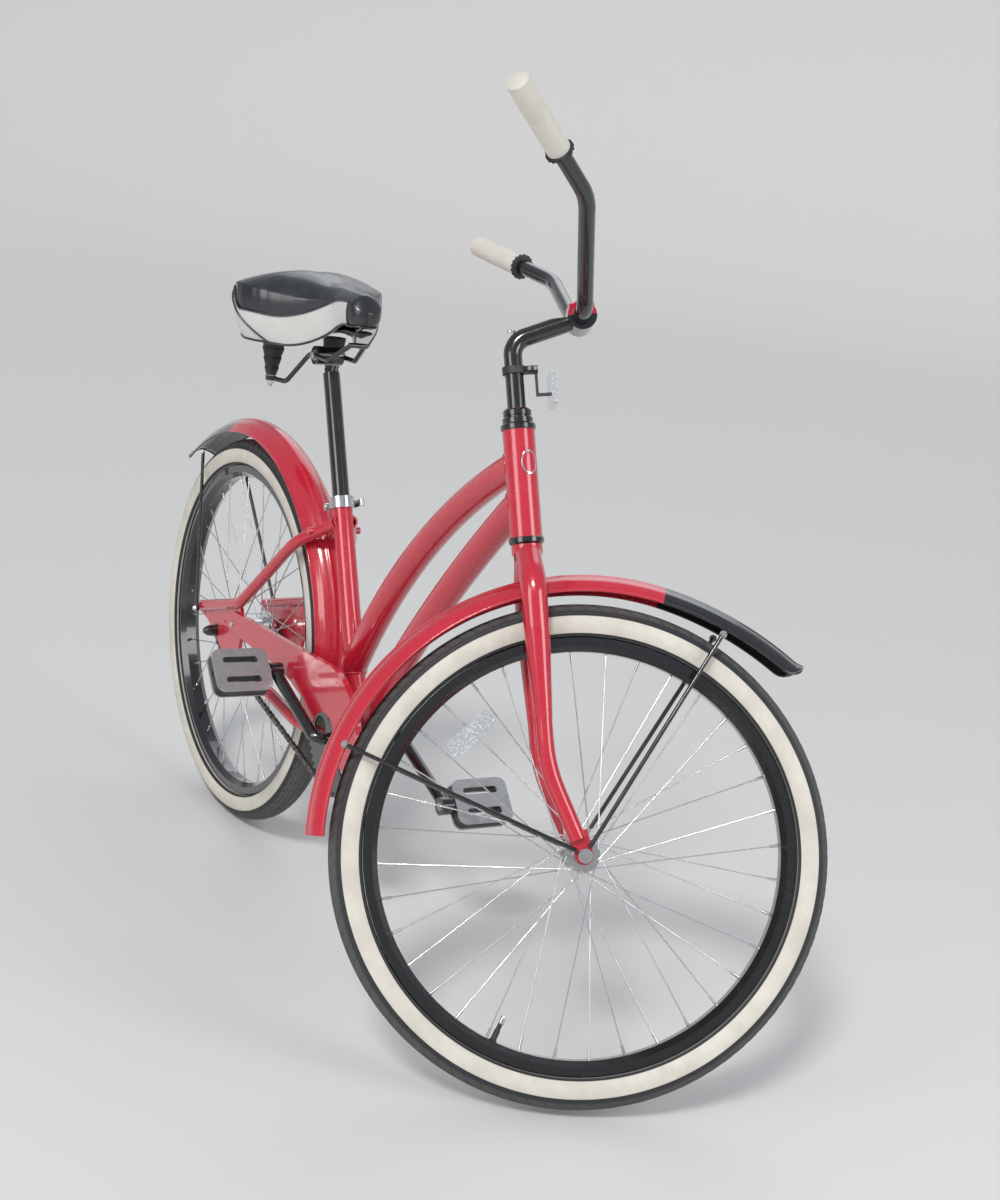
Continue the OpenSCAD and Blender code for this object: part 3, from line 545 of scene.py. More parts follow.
def fender_section(count=41):
    """Across the sheet: offset y, height above the crown and the outward direction."""
    half = math.asin(HALF_W / ARC_R)
    s = np.linspace(-1, 1, count)
    y = ARC_R * np.sin(half * s)
    h = ARC_R * (np.cos(half * s) - 1)
    rib = 0.0024 * smooth_step(0.0105 - np.abs(y), 0, 0.004)
    step = -0.0008 * smooth_step(np.abs(y), 0.023, 0.026)
    return y, h + rib + step, np.sin(half * s), np.cos(half * s)


def fender_grids(angles, centre, crown_r, narrow, lift):
    """Outer and inner grids: crown radius plus the section's height, turned through angles."""
    y, h, ny, nr = fender_section()
    a = np.radians(angles)[:, None]
    grids = []
    for inset in (0.0, SHEET):
        r = crown_r + h[None] * narrow[:, None] ** 2 - inset * nr[None] + lift[:, None]
        yy = (y[None] - inset * ny[None]) * narrow[:, None]
        grids.append(np.stack([centre[0] + r * np.cos(a), np.broadcast_to(yy, r.shape),
                               centre[1] + r * np.sin(a)], -1))
    return grids


def fender(name, angles, centre, crown_r, to_row, body, material, replaces, round_end=None):
    """A rolled-edge strip of fender; round_end is 0 or -1 for the end with round corners."""
    narrow = np.ones(len(angles))
    lift = np.zeros(len(angles))
    if round_end is not None:
        far = np.abs(angles - angles[round_end]) * math.pi / 180 * crown_r
        narrow = 1 - 0.30 * (1 - np.sqrt(np.clip(1 - (1 - np.clip(far / 0.022, 0, 1)) ** 2, 0, 1)))
        lift = 0.0035 * np.exp(-(far / 0.007) ** 2)
    outer, inner = fender_grids(angles, centre, crown_r, narrow, lift)
    parts = [shell(outer, inner)]
    for k in (0, -1):
        hem = (outer[:, k] + inner[:, k]) / 2
        parts.append(sweep(hem, ring(0.0019, 10), up=(0, 1, 0)))
    if round_end is not None:
        end = math.radians(angles[round_end])
        parts.append(sweep((outer[round_end] + inner[round_end]) / 2, ring(0.0017, 10),
                           up=(math.cos(end), 0, math.sin(end))))
    v, f, t = merge(parts)
    return make(name, (to_row(v), f, t), body, material, replaces)


REAR_BORDER, FRONT_BORDER = 104.0, 90.0
SHIFT = np.array([0.004, 0.005])


def tail_centre(at, base=(0.0, 0.0)):
    """The wider arc's centre lies on the line from the border through the fender's centre."""
    a, back = math.radians(at), FENDER_R - TAIL_R
    return base[0] + back * math.cos(a), base[1] + back * math.sin(a)


fender("rear_fender_sheet", np.linspace(-4, REAR_BORDER, 150), (0, 0), FENDER_R, to_rear_wheel,
       "frame", red_paint, ["rear_fender"])
fender("rear_fender_tail", np.linspace(REAR_BORDER, REAR_BORDER + TAIL_SWEEP, 90),
       tail_centre(REAR_BORDER), TAIL_R, to_rear_wheel, "frame", black_paint,
       ["rear_fender_tip"], round_end=-1)
fender("front_fender_sheet", np.linspace(FRONT_BORDER, FRONT_BORDER + 104, 150), SHIFT, FENDER_R,
       to_front_wheel, "steering", red_paint, ["front_fender"])
fender("front_fender_tail", np.linspace(FRONT_BORDER - TAIL_SWEEP, FRONT_BORDER, 90),
       tail_centre(FRONT_BORDER, SHIFT), TAIL_R, to_front_wheel, "steering", black_paint,
       ["front_fender_tip"], round_end=0)

# %% [markdown]
# ## Saddle
# A cruiser saddle is wide at the back and narrow at the nose. Seen from above its edge is one
# closed outline, so the whole cover is worked out from two numbers: s, the place round that
# outline, and a second that runs from the bottom edge up the side and over to the middle. A
# seam line divides it: white panels below, shiny black vinyl above, and a black nose.

# %% Saddle outline and heights, in millimetres
SADDLE_BACK, SADDLE_NOSE = 72.0, 349.0


def saddle_width(x):
    """Half width: full at the back, smoothly narrow towards the nose, rounded at both ends."""
    body = 26 + 99 * (1 - smooth_step(x, 122, 268))
    back = np.clip(1 - (np.clip(116 - x, 0, None) / 44) ** 2.4, 0, 1) ** (1 / 2.4)
    nose = np.clip(1 - (np.clip(x - 322, 0, None) / 27) ** 2.1, 0, 1) ** (1 / 2.1)
    return body * back * nose


def saddle_top(x):
    """Height of the cover along the middle: a high crown at the back and a lower nose."""
    return 978 - 14 * smooth_step(x, 140, 235) - 9 * smooth_step(x, 326, 349)


def saddle_drop(x):
    """How far the edge of the top sits under the middle: deep at the back, less at the nose."""
    return 30 - 15 * smooth_step(x, 170, 285)


def saddle_bottom(x):
    """Height of the skirt's lower edge, which sweeps up under the nose."""
    return 862 + 14 * smooth_step(125 - x, 0, 55) + 53 * smooth_step(x, 188, 312)


def seam_place(x):
    """How far down the side the colour seam runs, 0 at the shoulder and 1 at the bottom."""
    return 0.08 + 0.37 * smooth_step(x, 98, 135) - 0.51 * smooth_step(x, 172, 315)


def saddle_surface(s, row, swell=0.0, inset=0.0):
    """Row -1 to 0 is the side, bottom to shoulder; 0 to 1 is the top, shoulder to middle."""
    x0 = SADDLE_BACK + (SADDLE_NOSE - SADDLE_BACK) * (1 - np.cos(2 * math.pi * s)) / 2
    w0 = saddle_width(x0) * np.sign(np.sin(2 * math.pi * s) + 1e-12)
    spine = np.clip(x0, 158, 322)
    side = np.clip(-row, 0, 1)
    over = np.clip(row, 0, 1)
    reach = (1 - over) * (1 + 0.035 * np.sin(math.pi * side) - 0.12 * side ** 2)
    x = spine + (x0 - spine) * reach
    y = w0 * reach
    shoulder = saddle_drop(x0) * (1 - over) ** 2
    hollow = 1.2 * np.exp(-(y / 12) ** 2) * smooth_step(250 - x, 0, 60)
    top = saddle_top(x) - shoulder - hollow
    z = top + (saddle_bottom(x0) - (saddle_top(x0) - saddle_drop(x0))) * side
    out = unit(np.stack([x0 - spine + 1e-6, w0, np.zeros_like(w0)], -1))
    lift = (swell - inset)
    push = np.cos(over * math.pi / 2)
    x, y = x + out[..., 0] * lift * push, y + out[..., 1] * lift * push
    z = z + lift * np.sin(over * math.pi / 2)
    return np.stack([x, y, z], -1) * MM


def creases(s, row):
    """Shallow pulls across the vinyl: narrow valleys at fixed places along the edge."""
    x0 = SADDLE_BACK + (SADDLE_NOSE - SADDLE_BACK) * (1 - np.cos(2 * math.pi * s)) / 2
    places = np.array([96, 112, 127, 141, 158, 171, 188, 203, 219, 236.0])
    depth = np.array([0.6, 1.0, 0.8, 1.3, 1.0, 1.4, 0.9, 1.1, 0.7, 0.5])
    d = (x0[..., None] + 9 * row[..., None] - places) / 4.2
    valley = (depth * np.exp(-d ** 2)).sum(-1)
    fade = smooth_step(row + seam_place(x0), 0.0, 0.10) * smooth_step(0.42 - row, 0, 0.42)
    return -0.55 * valley * fade


# %% Cover, panels, piping and pan
S = (np.arange(480) + 0.5)[:, None] / 480
X_AT = SADDLE_BACK + (SADDLE_NOSE - SADDLE_BACK) * (1 - np.cos(2 * math.pi * S)) / 2
SEAM = -seam_place(X_AT)
NOSE_CAP = smooth_step(X_AT, 316, 319)
LOW = SEAM * (1 - NOSE_CAP) - 1.0 * NOSE_CAP

t = np.linspace(0, 1, 64)[None, :]
cover_row = LOW + (1 - LOW) * t
puff = 2.0 * np.sin(math.pi * np.clip(t / 0.22, 0, 1) / 2) + creases(S + 0 * t, cover_row)
cover = saddle_surface(S + 0 * t, cover_row, puff - 1.0)
under = saddle_surface(S + 0 * t, np.minimum(cover_row, 0.98), -7.0)
saddle_cover = make("saddle_cover", [grid(cover, wrap_u=True), grid(under[:, ::-1], wrap_u=True),
                    grid(np.stack([under[:, 0], cover[:, 0]], 1), wrap_u=True)],
                    "seat", black_vinyl, ["saddle_pad"])

keep = (X_AT[:, 0] < 319.5)
order = np.concatenate([np.arange(240, 480), np.arange(0, 240)])
order = order[keep[order]]
t = np.linspace(0, 1, 22)[None, :]
panel_row = -1 + (SEAM[order] + 1) * t
swell = 1.6 * np.sin(math.pi * t) ** 0.6
panel = saddle_surface(S[order] + 0 * t, panel_row, swell - 0.6)
panel_in = saddle_surface(S[order] + 0 * t, panel_row, -5.0)
side_panel = make("saddle_side_panel", shell(panel, panel_in), "seat", white_vinyl)


def piping(s, row, radius, up=(0, 0, 1), closed=False, swell=0.8):
    """A sewn cord of vinyl along a line on the saddle."""
    return sweep(saddle_surface(s, row, swell), ring(radius, 12), up, closed)


corner = np.linspace(0, 1, 40)
CORNER_S = 0.0905
parts = [piping(S[order][:, 0], SEAM[order][:, 0], 0.0016),
         piping(S[:, 0], np.full(480, -1.0), 0.0019, closed=True, swell=0.2)]
for s0 in (CORNER_S, 1 - CORNER_S):
    rows = -1 + (1 + float(-seam_place(SADDLE_BACK + (SADDLE_NOSE - SADDLE_BACK)
                 * (1 - math.cos(2 * math.pi * s0)) / 2))) * corner
    lean = 0.115 * (1 if s0 < 0.5 else -1)
    parts.append(piping(s0 + lean * corner[::-1], rows, 0.0017, up=(1, 0, 0), swell=1.6))
for s0 in (0.395, 0.605):
    rows = -1 + 0.94 * corner
    parts.append(piping(np.full(40, s0), rows, 0.0017, up=(1, 0, 0), swell=0.8))
make("saddle_piping", parts, "seat", black_vinyl)

t = np.linspace(0, 1, 12)[None, :]
pan_top = saddle_surface(S + 0 * t, -0.72 + 0 * t, -8.0)
middle = np.stack([np.clip(X_AT, 158, 322) * MM, 0 * X_AT, 0 * X_AT], -1)
pan = pan_top * (1 - t[..., None]) + middle * t[..., None]
pan[..., 2] = (saddle_bottom(X_AT) * 0.5 + 893 * 0.5) * MM * (1 - t) + 0.896 * t
make("saddle_pan", [grid(pan, wrap_u=True), grid(pan[:, ::-1] + [0, 0, 0.002], wrap_u=True),
                    grid(np.stack([pan[:, 0] + [0, 0, 0.002], pan[:, 0]], 1), wrap_u=True)],
     "seat", black_plastic)

# %% [markdown]
# ## Turned and hexagonal small parts
# Nuts, washers, dome caps and bolts are all one idea: a profile of radius against height
# turned about an axis, in 6 steps for a hexagon and in 24 for a round head.


# %% Fasteners
def spin(profile, at, axis, count=24):
    """A profile of (radius, height) in mm turned about an axis through a point in mm."""
    z = unit(axis)
    x = unit(np.cross([0.3, 0.9, 0.2], z))
    y = np.cross(z, x)
    profile = np.asarray(profile, float)
    a = np.arange(count)[:, None, None] * 2 * math.pi / count
    r, h = profile[None, :, :1], profile[None, :, 1:]
    points = np.asarray(at, float) + r * (np.cos(a) * x + np.sin(a) * y) + h * z
    return grid(points * MM, wrap_u=True, wrap_v=False)


def hex_head(at, axis, across=10.0, high=5.0, washer=True):
    """A chamfered six-sided head on a washer."""
    r = across / 2 / math.cos(math.pi / 6)
    head = spin([(0, 0.8), (r * 0.98, 0.8), (r, 1.2), (r, high - 0.8), (r * 0.86, high), (0, high)],
                at, axis, 6)
    plate = spin([(0, 0), (r * 1.28, 0), (r * 1.28, 0.8), (0, 0.8)], at, axis)
    return [head, plate] if washer else [head]


def dome_nut(at, axis, across=11.0):
    """A six-sided nut closed by a round cap."""
    r = across / 2 / math.cos(math.pi / 6)
    bend = np.linspace(0, math.pi / 2, 8)
    cap = [(across * 0.47 * math.cos(b), 5 + across * 0.45 * math.sin(b)) for b in bend]
    return [spin([(0, 0), (r, 0), (r, 4.4), (r * 0.9, 5), (0, 5)], at, axis, 6),
            spin([(across * 0.47, 4.6)] + cap, at, axis)]


def socket_screw(at, axis, r=4.5):
    """A round head with a six-sided hole."""
    return [spin([(0, 0), (r, 0), (r, 2.6), (r * 0.88, 3.4), (r * 0.5, 3.4), (r * 0.5, 1.2),
                  (0, 1.2)], at, axis)]


def in_row(points, frame_of):
    """A point given in mm in a local frame, as mm in the row."""
    return frame_of(np.asarray(points, float) * MM) / MM


steer_axis = STEERED @ np.array([0, 0, 1])
steer_left = STEERED @ np.array([0, 1, 0])

parts = []
for side in (-1, 1):
    parts += dome_nut((118, side * 54, 794), (0, 0, -1), 12)
    parts += hex_head((118, side * 54, 802), (0, 0, 1), 12, 3.0)
make("saddle_spring_nuts", parts, "seat", bright_steel)

parts = []
for side in (-1, 1):
    parts += hex_head((211, side * 23, 851), (0, side, 0), 12, 6)
make("saddle_clamp_nuts", parts, "seat", bright_steel)

parts = []
for side in (-1, 1):
    parts += hex_head((-62, side * 76.7, 356), (0, side, 0), 8, 4)
    parts += hex_head((-184, side * 36.5, 611), (-0.3, side, 0.1), 7, 3.5)
make("rear_stay_bolts", parts, "frame", bright_steel)

parts = []
for side in (-1, 1):
    for end in ((92, side * 38, 334), (-341, side * 38, 44)):
        parts += hex_head(in_row(end, to_front_wheel), FRONT_WHEEL @ np.array([0, side, 0]), 7, 4)
make("front_stay_bolts", parts, "steering", bright_steel)

QUILL_TOP = in_row((0, 0, 426 + 146 + 122 + 12.5), to_steered)
parts = socket_screw(QUILL_TOP, steer_axis, 6.0)
CLAMP = np.array([96.0, 0, 426 + 146 + 122 + 27])
for y in (-15, 15):
    parts += socket_screw(in_row(CLAMP + [-14.5, y, 13.5], to_steered), steer_axis, 2.9)
    parts += socket_screw(in_row(CLAMP + [11.5, y, 16.0], to_steered), steer_axis, 3.6)
RING = 426 + 146 + 82
for x in (20, 28):
    parts += hex_head(in_row((x, -10, RING), to_steered), -steer_left, 5.5, 3, False)
make("stem_screws", parts, "steering", bright_steel)

# %% [markdown]
# ## Grips
# Each grip is a rubber sleeve with fine rings moulded round it, a domed end and a serrated
# black flange where the hand stops. Radius is a function of distance along the grip and, on
# the flange, of the angle round it.

# %% Grips and flanges
BAR_BEND = CLAMP + [-8, 214, 106]
BAR_WAY = unit(np.array([-94, 153, 100.0]))
BAR_END = BAR_BEND + 205 * BAR_WAY
GRIP_LEN, GRIP_R = 128.0, 16.0


def turned_sleeve(along, radius, side, around=64):
    """Radius as a grid of (distance, angle) about the bar's end, on one side."""
    flip = np.array([1, side, 1])
    end, way = BAR_END * flip, BAR_WAY * flip
    x = unit(np.cross(way, [0, 0, 1]))
    y = np.cross(way, x)
    a = np.arange(around)[None, :, None] * 2 * math.pi / around
    points = end + (4 - along)[:, None, None] * way + radius[..., None] * (
        np.cos(a) * x + np.sin(a) * y)
    return grid(to_steered(points.reshape(-1, 3) * MM).reshape(points.shape), wrap_v=True)


sleeves, flanges = [], []
for side in (-1, 1):
    along = np.linspace(0, GRIP_LEN - 6, 260)
    dome = np.sqrt(np.clip(1 - np.clip(1 - along / 5, 0, 1) ** 2, 0, 1))
    rings = 0.35 * (0.5 + 0.5 * np.cos(along * 2 * math.pi / 3.2)) * smooth_step(along, 8, 12)
    swell = 0.5 * np.sin(along / GRIP_LEN * math.pi)
    radius = (GRIP_R - 0.9) * dome + rings + swell
    radius = np.concatenate([radius, [11.3]])
    along = np.concatenate([along, [GRIP_LEN - 6]])
    sleeves.append(turned_sleeve(along, radius[:, None].repeat(64, 1), side))
    a = np.arange(96)[None, :] * 2 * math.pi / 96
    teeth = np.clip(1.6 * np.cos(a * 16), -0.8, 0.8)
    along = GRIP_LEN - 6 + np.array([0, 0, 0.8, 5.2, 6, 6.0])
    base = np.array([11.3, 16.5, 18.2, 18.2, 16.8, 11.3])
    tooth = np.array([0, 0, 1, 1, 0.3, 0])
    flanges.append(turned_sleeve(along, base[:, None] + tooth[:, None] * teeth, side, 96))
make("grip_sleeves", sleeves, "steering", grip_rubber, ["grips"])
make("grip_flanges", flanges, "steering", black_rubber)

# %% [markdown]
# ## Chain
# A chain's pitch line is two arcs and the two straight lines that touch both. Links are laid
# along it by distance, so every pin is one pitch from the next. One link is a small array of
# points, and placing all of them is one product of directions with that array.

# %% Chain links
PITCH = 12.7
RING_R = PITCH / 2 / math.sin(math.pi / 44)
COG_R = PITCH / 2 / math.sin(math.pi / 18)
CHAIN_Y = -44.0


def chain_line(n):
    """Points and headings at n even steps along the pitch line, in the XZ plane."""
    span = (BB - REAR_AXLE)[[0, 2]] / MM
    length = np.linalg.norm(span)
    tip = math.atan2(span[1], span[0])
    a = math.asin((RING_R - COG_R) / length)
    straight = length * math.cos(a)
    wrap_ring, wrap_cog = math.pi + 2 * a, math.pi - 2 * a
    total = 2 * straight + RING_R * wrap_ring + COG_R * wrap_cog
    d = np.arange(n) * total / n
    hub, ctr = REAR_AXLE[[0, 2]] / MM, BB[[0, 2]] / MM
    up = tip + math.pi / 2 + a
    down = tip - math.pi / 2 - a
    top_way = np.array([math.cos(up - math.pi / 2), math.sin(up - math.pi / 2)])
    low_way = np.array([math.cos(down - math.pi / 2), math.sin(down - math.pi / 2)])
    top_from = hub + COG_R * np.array([math.cos(up), math.sin(up)])
    low_from = ctr + RING_R * np.array([math.cos(down), math.sin(down)])
    e1 = d - straight
    e2 = e1 - RING_R * wrap_ring
    e3 = e2 - straight
    on_ring = up - np.clip(e1, 0, None) / RING_R
    on_cog = down - np.clip(e3, 0, None) / COG_R
    ring_place = ctr + RING_R * np.stack([np.cos(on_ring), np.sin(on_ring)], -1)
    cog_place = hub + COG_R * np.stack([np.cos(on_cog), np.sin(on_cog)], -1)
    place = np.where((e1 < 0)[:, None], top_from + d[:, None] * top_way,
            np.where((e2 < 0)[:, None], ring_place,
            np.where((e3 < 0)[:, None], low_from + e2[:, None] * low_way, cog_place)))
    return place, total


total = chain_line(8)[1]
LINKS = 2 * round(total / PITCH / 2)
pins = chain_line(LINKS)[0]
print("chain length", round(total, 1), "mm,", LINKS, "links of", round(total / LINKS, 3), "mm")


def link_plate(y, thick, waist):
    """A figure-eight plate about one pitch: a round at each pin and a waist between."""
    a = np.linspace(-1.9, 1.9, 7)
    front = np.stack([6.35 + 4.1 * np.cos(a), 4.1 * np.sin(a)], -1)
    outline = np.concatenate([front, [[0, waist]], -front, [[0, -waist]]])
    rows = [(0.0, y), (1.0, y), (1.0, y + thick), (0.0, y + thick)]
    return np.stack([np.stack([outline[:, 0] * k, np.full(len(outline), h), outline[:, 1] * k], -1)
                     for k, h in rows])


def place_links(shape, start):
    """One shape of points (x along the link, y, z) at every second link."""
    a, b = pins[start::2], np.roll(pins, -1, 0)[start::2]
    mid, way = (a + b) / 2, unit(b - a)
    x = mid[:, None, None, 0] + shape[..., 0] * way[:, None, None, 0] - shape[..., 2] * way[
        :, None, None, 1]
    z = mid[:, None, None, 1] + shape[..., 0] * way[:, None, None, 1] + shape[..., 2] * way[
        :, None, None, 0]
    y = np.broadcast_to(CHAIN_Y + shape[..., 1], x.shape)
    points = np.stack([x, y, z], -1) * MM
    return [grid(p, wrap_v=True) for p in points]


def pin_shape(x, r, half, count=8):
    """A short bar across the chain at one end of a link."""
    a = np.arange(count) * 2 * math.pi / count
    c = np.stack([x + r * np.cos(a), 0 * a, r * np.sin(a)], -1)
    centre = np.broadcast_to([x, 0, 0.0], c.shape)
    return np.stack([centre - [0, half, 0], c - [0, half, 0], c + [0, half, 0],
                     centre + [0, half, 0]])


parts = []
for y in (-2.35, 1.45):
    parts += place_links(link_plate(y, 0.9, 3.0), 0)
for y in (-3.3, 2.4):
    parts += place_links(link_plate(y, 0.9, 2.7), 1)
for x in (-6.35, 6.35):
    parts += place_links(pin_shape(x, 3.7, 1.4), 0)
    parts += place_links(pin_shape(x, 1.7, 3.75), 1)
make("chain_links", parts, "frame", oiled_steel, ["chain"], flat=True)

# %% [markdown]
# ## Welds
# Where one tube meets another, the joint is a curve on both. For each angle round the first
# tube, a line along it meets the second tube's cylinder at a distance given by a quadratic.
# A bead carried round that curve, with a ripple in its size, makes the weld.


# %% Weld beads
def weld_curve(at, way, r, axis_at, axis_way, big_r, count=140):
    """Distance along each line from the quadratic for a line meeting a cylinder, nearest root."""
    way, axis_way = unit(way), unit(axis_way)
    x = unit(np.cross(way, axis_way))
    y = np.cross(way, x)
    a = np.arange(count)[:, None] * 2 * math.pi / count
    start = np.asarray(at, float) + r * (np.cos(a) * x + np.sin(a) * y)
    gap = start - np.asarray(axis_at, float)
    flat = gap - (gap @ axis_way)[:, None] * axis_way
    slope = way - (way @ axis_way) * axis_way
    qa, qb, qc = slope @ slope, 2 * flat @ slope, (flat ** 2).sum(-1) - big_r ** 2
    root = np.sqrt(np.clip(qb ** 2 - 4 * qa * qc, 0, None))
    s = (-qb - root) / (2 * qa)
    return start + s[:, None] * way


def bead(curve, way, r=2.3):
    """A rippled round bead carried round the curve."""
    n = len(curve)
    ripple = 1 + 0.10 * np.sin(np.arange(n) * 2 * math.pi / n * 34)
    return sweep(curve * MM, ring(r * MM, 10), up=way, closed=True, scale=ripple)


def along_arch(a, b, bulge, place, back):
    """A point and heading on the arched tube, at a distance in mm from end b (back) or a."""
    a, b = np.asarray(a, float), np.asarray(b, float)
    half = np.linalg.norm(b - a) / 2
    rho = (half ** 2 + bulge ** 2) / (2 * bulge)
    way = unit(b - a)
    out = np.cross([0, 1, 0], way)
    centre = (a + b) / 2 - out * (rho - bulge)
    start = b if back else a
    sign = 1 if back else -1
    spoke = start - centre
    angle = sign * place / rho
    spoke = np.array([spoke[0] * math.cos(angle) + spoke[2] * math.sin(angle), 0,
                      -spoke[0] * math.sin(angle) + spoke[2] * math.cos(angle)])
    heading = sign * np.cross([0, 1, 0], spoke)
    return centre + spoke, unit(heading)


head_way = LEAN @ np.array([0, 0, 1])
seat_way = SEATED @ np.array([0, 0, 1])
foot_mm, bb_mm = FOOT / MM, BB / MM
UPPER_HEAD = foot_mm + head_way * (426 + 146 - 44)
UPPER_SEAT = bb_mm + seat_way * 112
DOWN_HEAD = foot_mm + head_way * (426 + 52)
parts = []
for start, end, bulge, back, axis_at, axis_way, big in (
        (UPPER_HEAD, UPPER_SEAT, 42, False, foot_mm, head_way, 22),
        (UPPER_HEAD, UPPER_SEAT, 42, True, bb_mm, seat_way, 16.5),
        (DOWN_HEAD, bb_mm, 20, False, foot_mm, head_way, 22),
        (DOWN_HEAD, bb_mm, 20, True, bb_mm, np.array([0, 1.0, 0]), 28.5)):
    point, heading = along_arch(start, end, bulge, 45, back)
    parts.append(bead(weld_curve(point, -heading, 21, axis_at, axis_way, big), -heading, 2.4))
parts.append(bead(weld_curve(bb_mm + seat_way * 60, -seat_way, 16.5, bb_mm, (0, 1, 0), 28.5),
                  -seat_way, 2.2))
STAY_TOP = bb_mm + seat_way * 340
for side in (-1, 1):
    a = STAY_TOP + [0, side * 13, 0]
    b = np.array([262, side * 50, 556.0])
    parts.append(bead(weld_curve(b, a - b, 9.5, bb_mm, seat_way, 16.5), a - b, 1.8))
    a = bb_mm + [-6, side * 20, -6]
    b = np.array([385, side * 27, 270.0])
    parts.append(bead(weld_curve(b, a - b, 10, bb_mm, (0, 1, 0), 28.5), a - b, 2.0))
make("frame_welds", parts, "frame", red_paint)

# %% [markdown]
# ## Small touches
# Valve stems and a plain oval badge are small parts that the eye expects. The stems are
# turned, and the badge is a patch of surface laid on the head tube.

# %% Valves and badge
def valve(to_row, polar):
    """Where a valve stands in the rim, and the way it points, to the hub."""
    a = math.radians(polar)
    out = np.array([math.cos(a), 0, math.sin(a)])
    at = in_row(out * 268.4, to_row)
    tip = in_row(out * 200, to_row) - at
    return at, unit(tip)


for name, to_row, polar, body in (("rear_valve", to_rear_wheel, 230, "rear_wheel"),
                                  ("front_valve", to_front_wheel, 262, "front_wheel")):
    at, way = valve(to_row, polar)
    make(name + "_stem", [spin([(0, -2), (5.5, -2), (5.5, 0.6), (4.2, 2), (4, 14), (3.2, 16),
                                (3.2, 24), (0, 24)], at, way)], body, black_rubber)
    make(name + "_cap", [spin([(0, 24.1), (3.9, 24.1), (4.1, 25), (3.9, 33), (3.2, 34.5),
                               (0, 34.8)], at, way, 16)], body, bright_steel)

a = np.linspace(0, 2 * math.pi, 49)[:-1]
parts_rim, parts_face = [], []
BADGE_AT = 426 + 100.0
for k_out, k_in, lift, parts in ((1.0, 0.84, 1.0, parts_rim), (0.86, 0.0, 0.7, parts_face)):
    k = np.linspace(k_out, k_in, 10)[:, None]
    across = 11 * k * np.cos(a)
    up_way = 17 * k * np.sin(a)
    dome = 22 + lift + 0.5 * np.sqrt(np.clip(1 - k ** 2, 0, 1)) + 0 * across
    turn_by = across / 22
    p = np.stack([dome * np.cos(turn_by), dome * np.sin(turn_by), BADGE_AT + up_way], -1)
    q = np.stack([21.9 * np.cos(turn_by), 21.9 * np.sin(turn_by), BADGE_AT + up_way], -1)
    both = [FOOT + (g.reshape(-1, 3) * MM) @ LEAN.T for g in (p, q)]
    top, low = (g.reshape(p.shape) for g in both)
    parts.append(grid(np.concatenate([top, low[::-1], top[:1]]), wrap_v=True))
make("badge_rim", parts_rim, "frame", bright_steel)
make("badge_face", parts_face, "frame", red_paint)

# %% [markdown]
# ## Camera, light and floor
# The camera stands ahead of the bicycle on its right, a little above the bars, and looks back
# along the frame. It leans a few degrees, so the ground line would tip. The light is a pale
# sky, two soft suns and two large lamps. The floor is a plain pale sheet that curves up all
# round, far away, so that no edge shows behind the bicycle.

# %% Camera
CAMERA = np.array([3.092, -1.384, 1.265])
AZIMUTH, ELEVATION, ROLL = (math.radians(d) for d in (59.28, 9.67, 6.88))
PAN, TILT = -0.0036, 0.0728
scene = bpy.context.scene


scene.view_settings.view_transform = "Standard"


def look():
    """Camera axes: back from azimuth and elevation, rolled, then turned to centre the frame."""
    back = np.array([math.sin(AZIMUTH) * math.cos(ELEVATION),
                     -math.cos(AZIMUTH) * math.cos(ELEVATION), math.sin(ELEVATION)])
    right = unit(np.cross(-back, [0, 0, 1]))
    above = np.cross(right, -back)
    r = right * math.cos(ROLL) + above * math.sin(ROLL)
    u = above * math.cos(ROLL) - right * math.sin(ROLL)
    b = unit(back + PAN * r + TILT * u)
    r = unit(np.cross(u, b))
    return np.stack([r, np.cross(b, r), b], 1)


camera_data = bpy.data.cameras.new("camera")
camera_data.sensor_fit = "HORIZONTAL"
camera_data.sensor_width = 36.0
camera_data.lens = 71.5
camera = bpy.data.objects.new("camera", camera_data)
scene.collection.objects.link(camera)
axes = look()
matrix = np.eye(4)
matrix[:3, :3], matrix[:3, 3] = axes, CAMERA
camera.matrix_world = Matrix(matrix.tolist())
scene.camera = camera
print("camera looks along", (-axes[:, 2]).round(3))

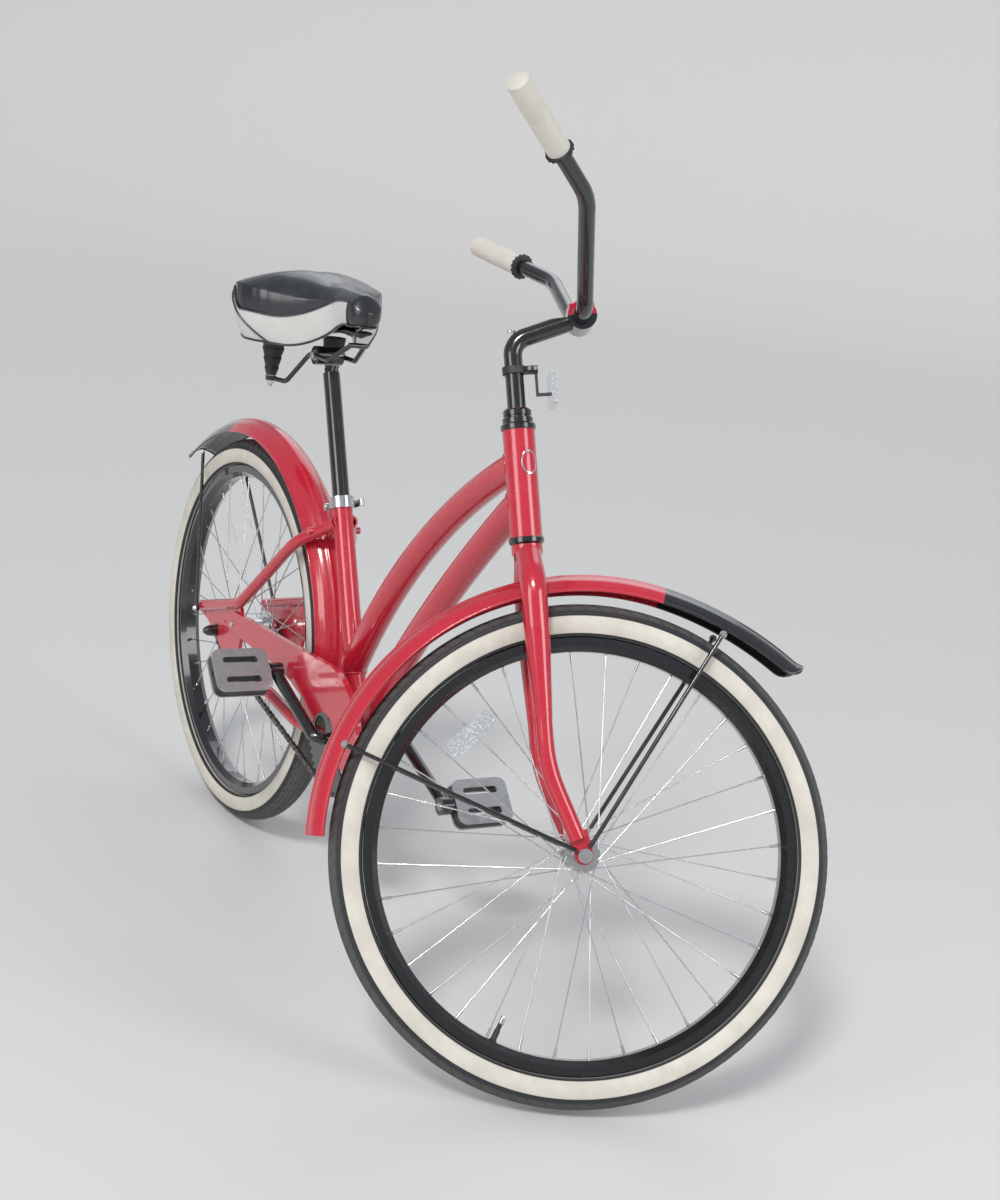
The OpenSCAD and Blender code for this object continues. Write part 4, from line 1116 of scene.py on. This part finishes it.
# %% Floor, sky and lamps
floor_finish = Finish("pale_floor", (0.70, 0.70, 0.69), 0.75)
FLAT_R, CURVE_R, WALL_TOP = 9, 4, 5.5
bend = np.linspace(0, math.pi / 2, 17)
out = np.concatenate([[0.001, 3.0, 6.0], FLAT_R + CURVE_R * np.sin(bend), [FLAT_R + CURVE_R]])
high = np.concatenate([[0, 0, 0], CURVE_R - CURVE_R * np.cos(bend), [WALL_TOP]])
a = np.arange(96)[None, :] * 2 * math.pi / 96
cove = np.stack([out[:, None] * np.cos(a), out[:, None] * np.sin(a), high[:, None] + 0 * a], -1)
points, faces = grid(cove, wrap_v=True)[:2]
floor_mesh = bpy.data.meshes.new("floor")
floor_mesh.from_pydata(points.tolist(), [], [tuple(map(int, q)) for q in faces])
floor_mesh.materials.append(floor_finish.material)
floor_mesh.shade_smooth()
floor = bpy.data.objects.new("floor", floor_mesh)
scene.collection.objects.link(floor)

world = bpy.data.worlds.new("sky")
scene.world = world
world.use_nodes = True
sky = world.node_tree.nodes["Background"]
sky.inputs["Color"].default_value = (0.86, 0.91, 1.0, 1.0)
sky.inputs["Strength"].default_value = 0.40


def hang(name, data, colour, back, at=(0, 0, 0)):
    """Puts a light at a point, with its own Z along back, so it shines the other way."""
    data.color = colour
    light = bpy.data.objects.new(name, data)
    scene.collection.objects.link(light)
    r = unit(np.cross([0, 0, 1], back))
    m = np.eye(4)
    m[:3, :3], m[:3, 3] = np.stack([r, np.cross(back, r), back], 1), at
    light.matrix_world = Matrix(m.tolist())


def lamp(name, at, towards, size, power, colour=(1, 1, 1)):
    """A square area lamp at a point, facing another."""
    data = bpy.data.lights.new(name, "AREA")
    data.size, data.energy = size, power
    hang(name, data, colour, unit(np.array(at, float) - np.array(towards, float)), at)


def sun(name, towards, strength, soft, colour=(1, 1, 1)):
    """A soft sun shining along a direction, so the floor is lit evenly."""
    data = bpy.data.lights.new(name, "SUN")
    data.energy, data.angle = strength, math.radians(soft)
    hang(name, data, colour, -unit(np.array(towards, float)))


sun("key_sun", (-0.45, 0.55, -0.80), 1.55, 12, (1.0, 0.975, 0.94))
sun("back_sun", (0.55, -0.45, -0.60), 0.4, 40, (0.94, 0.97, 1.0))
lamp("glint_right", (1.6, -3.0, 1.6), (0.45, 0, 0.6), 1.4, 24)
lamp("glint_front", (3.6, 1.2, 1.9), (0.7, 0, 0.6), 1.4, 28)

# %% [markdown]
# ## The new pieces
# The number of pieces built here is printed. The dressed bicycle must stay in the CAD box.

# %% Count the new pieces
print("new pieces:", len(made))
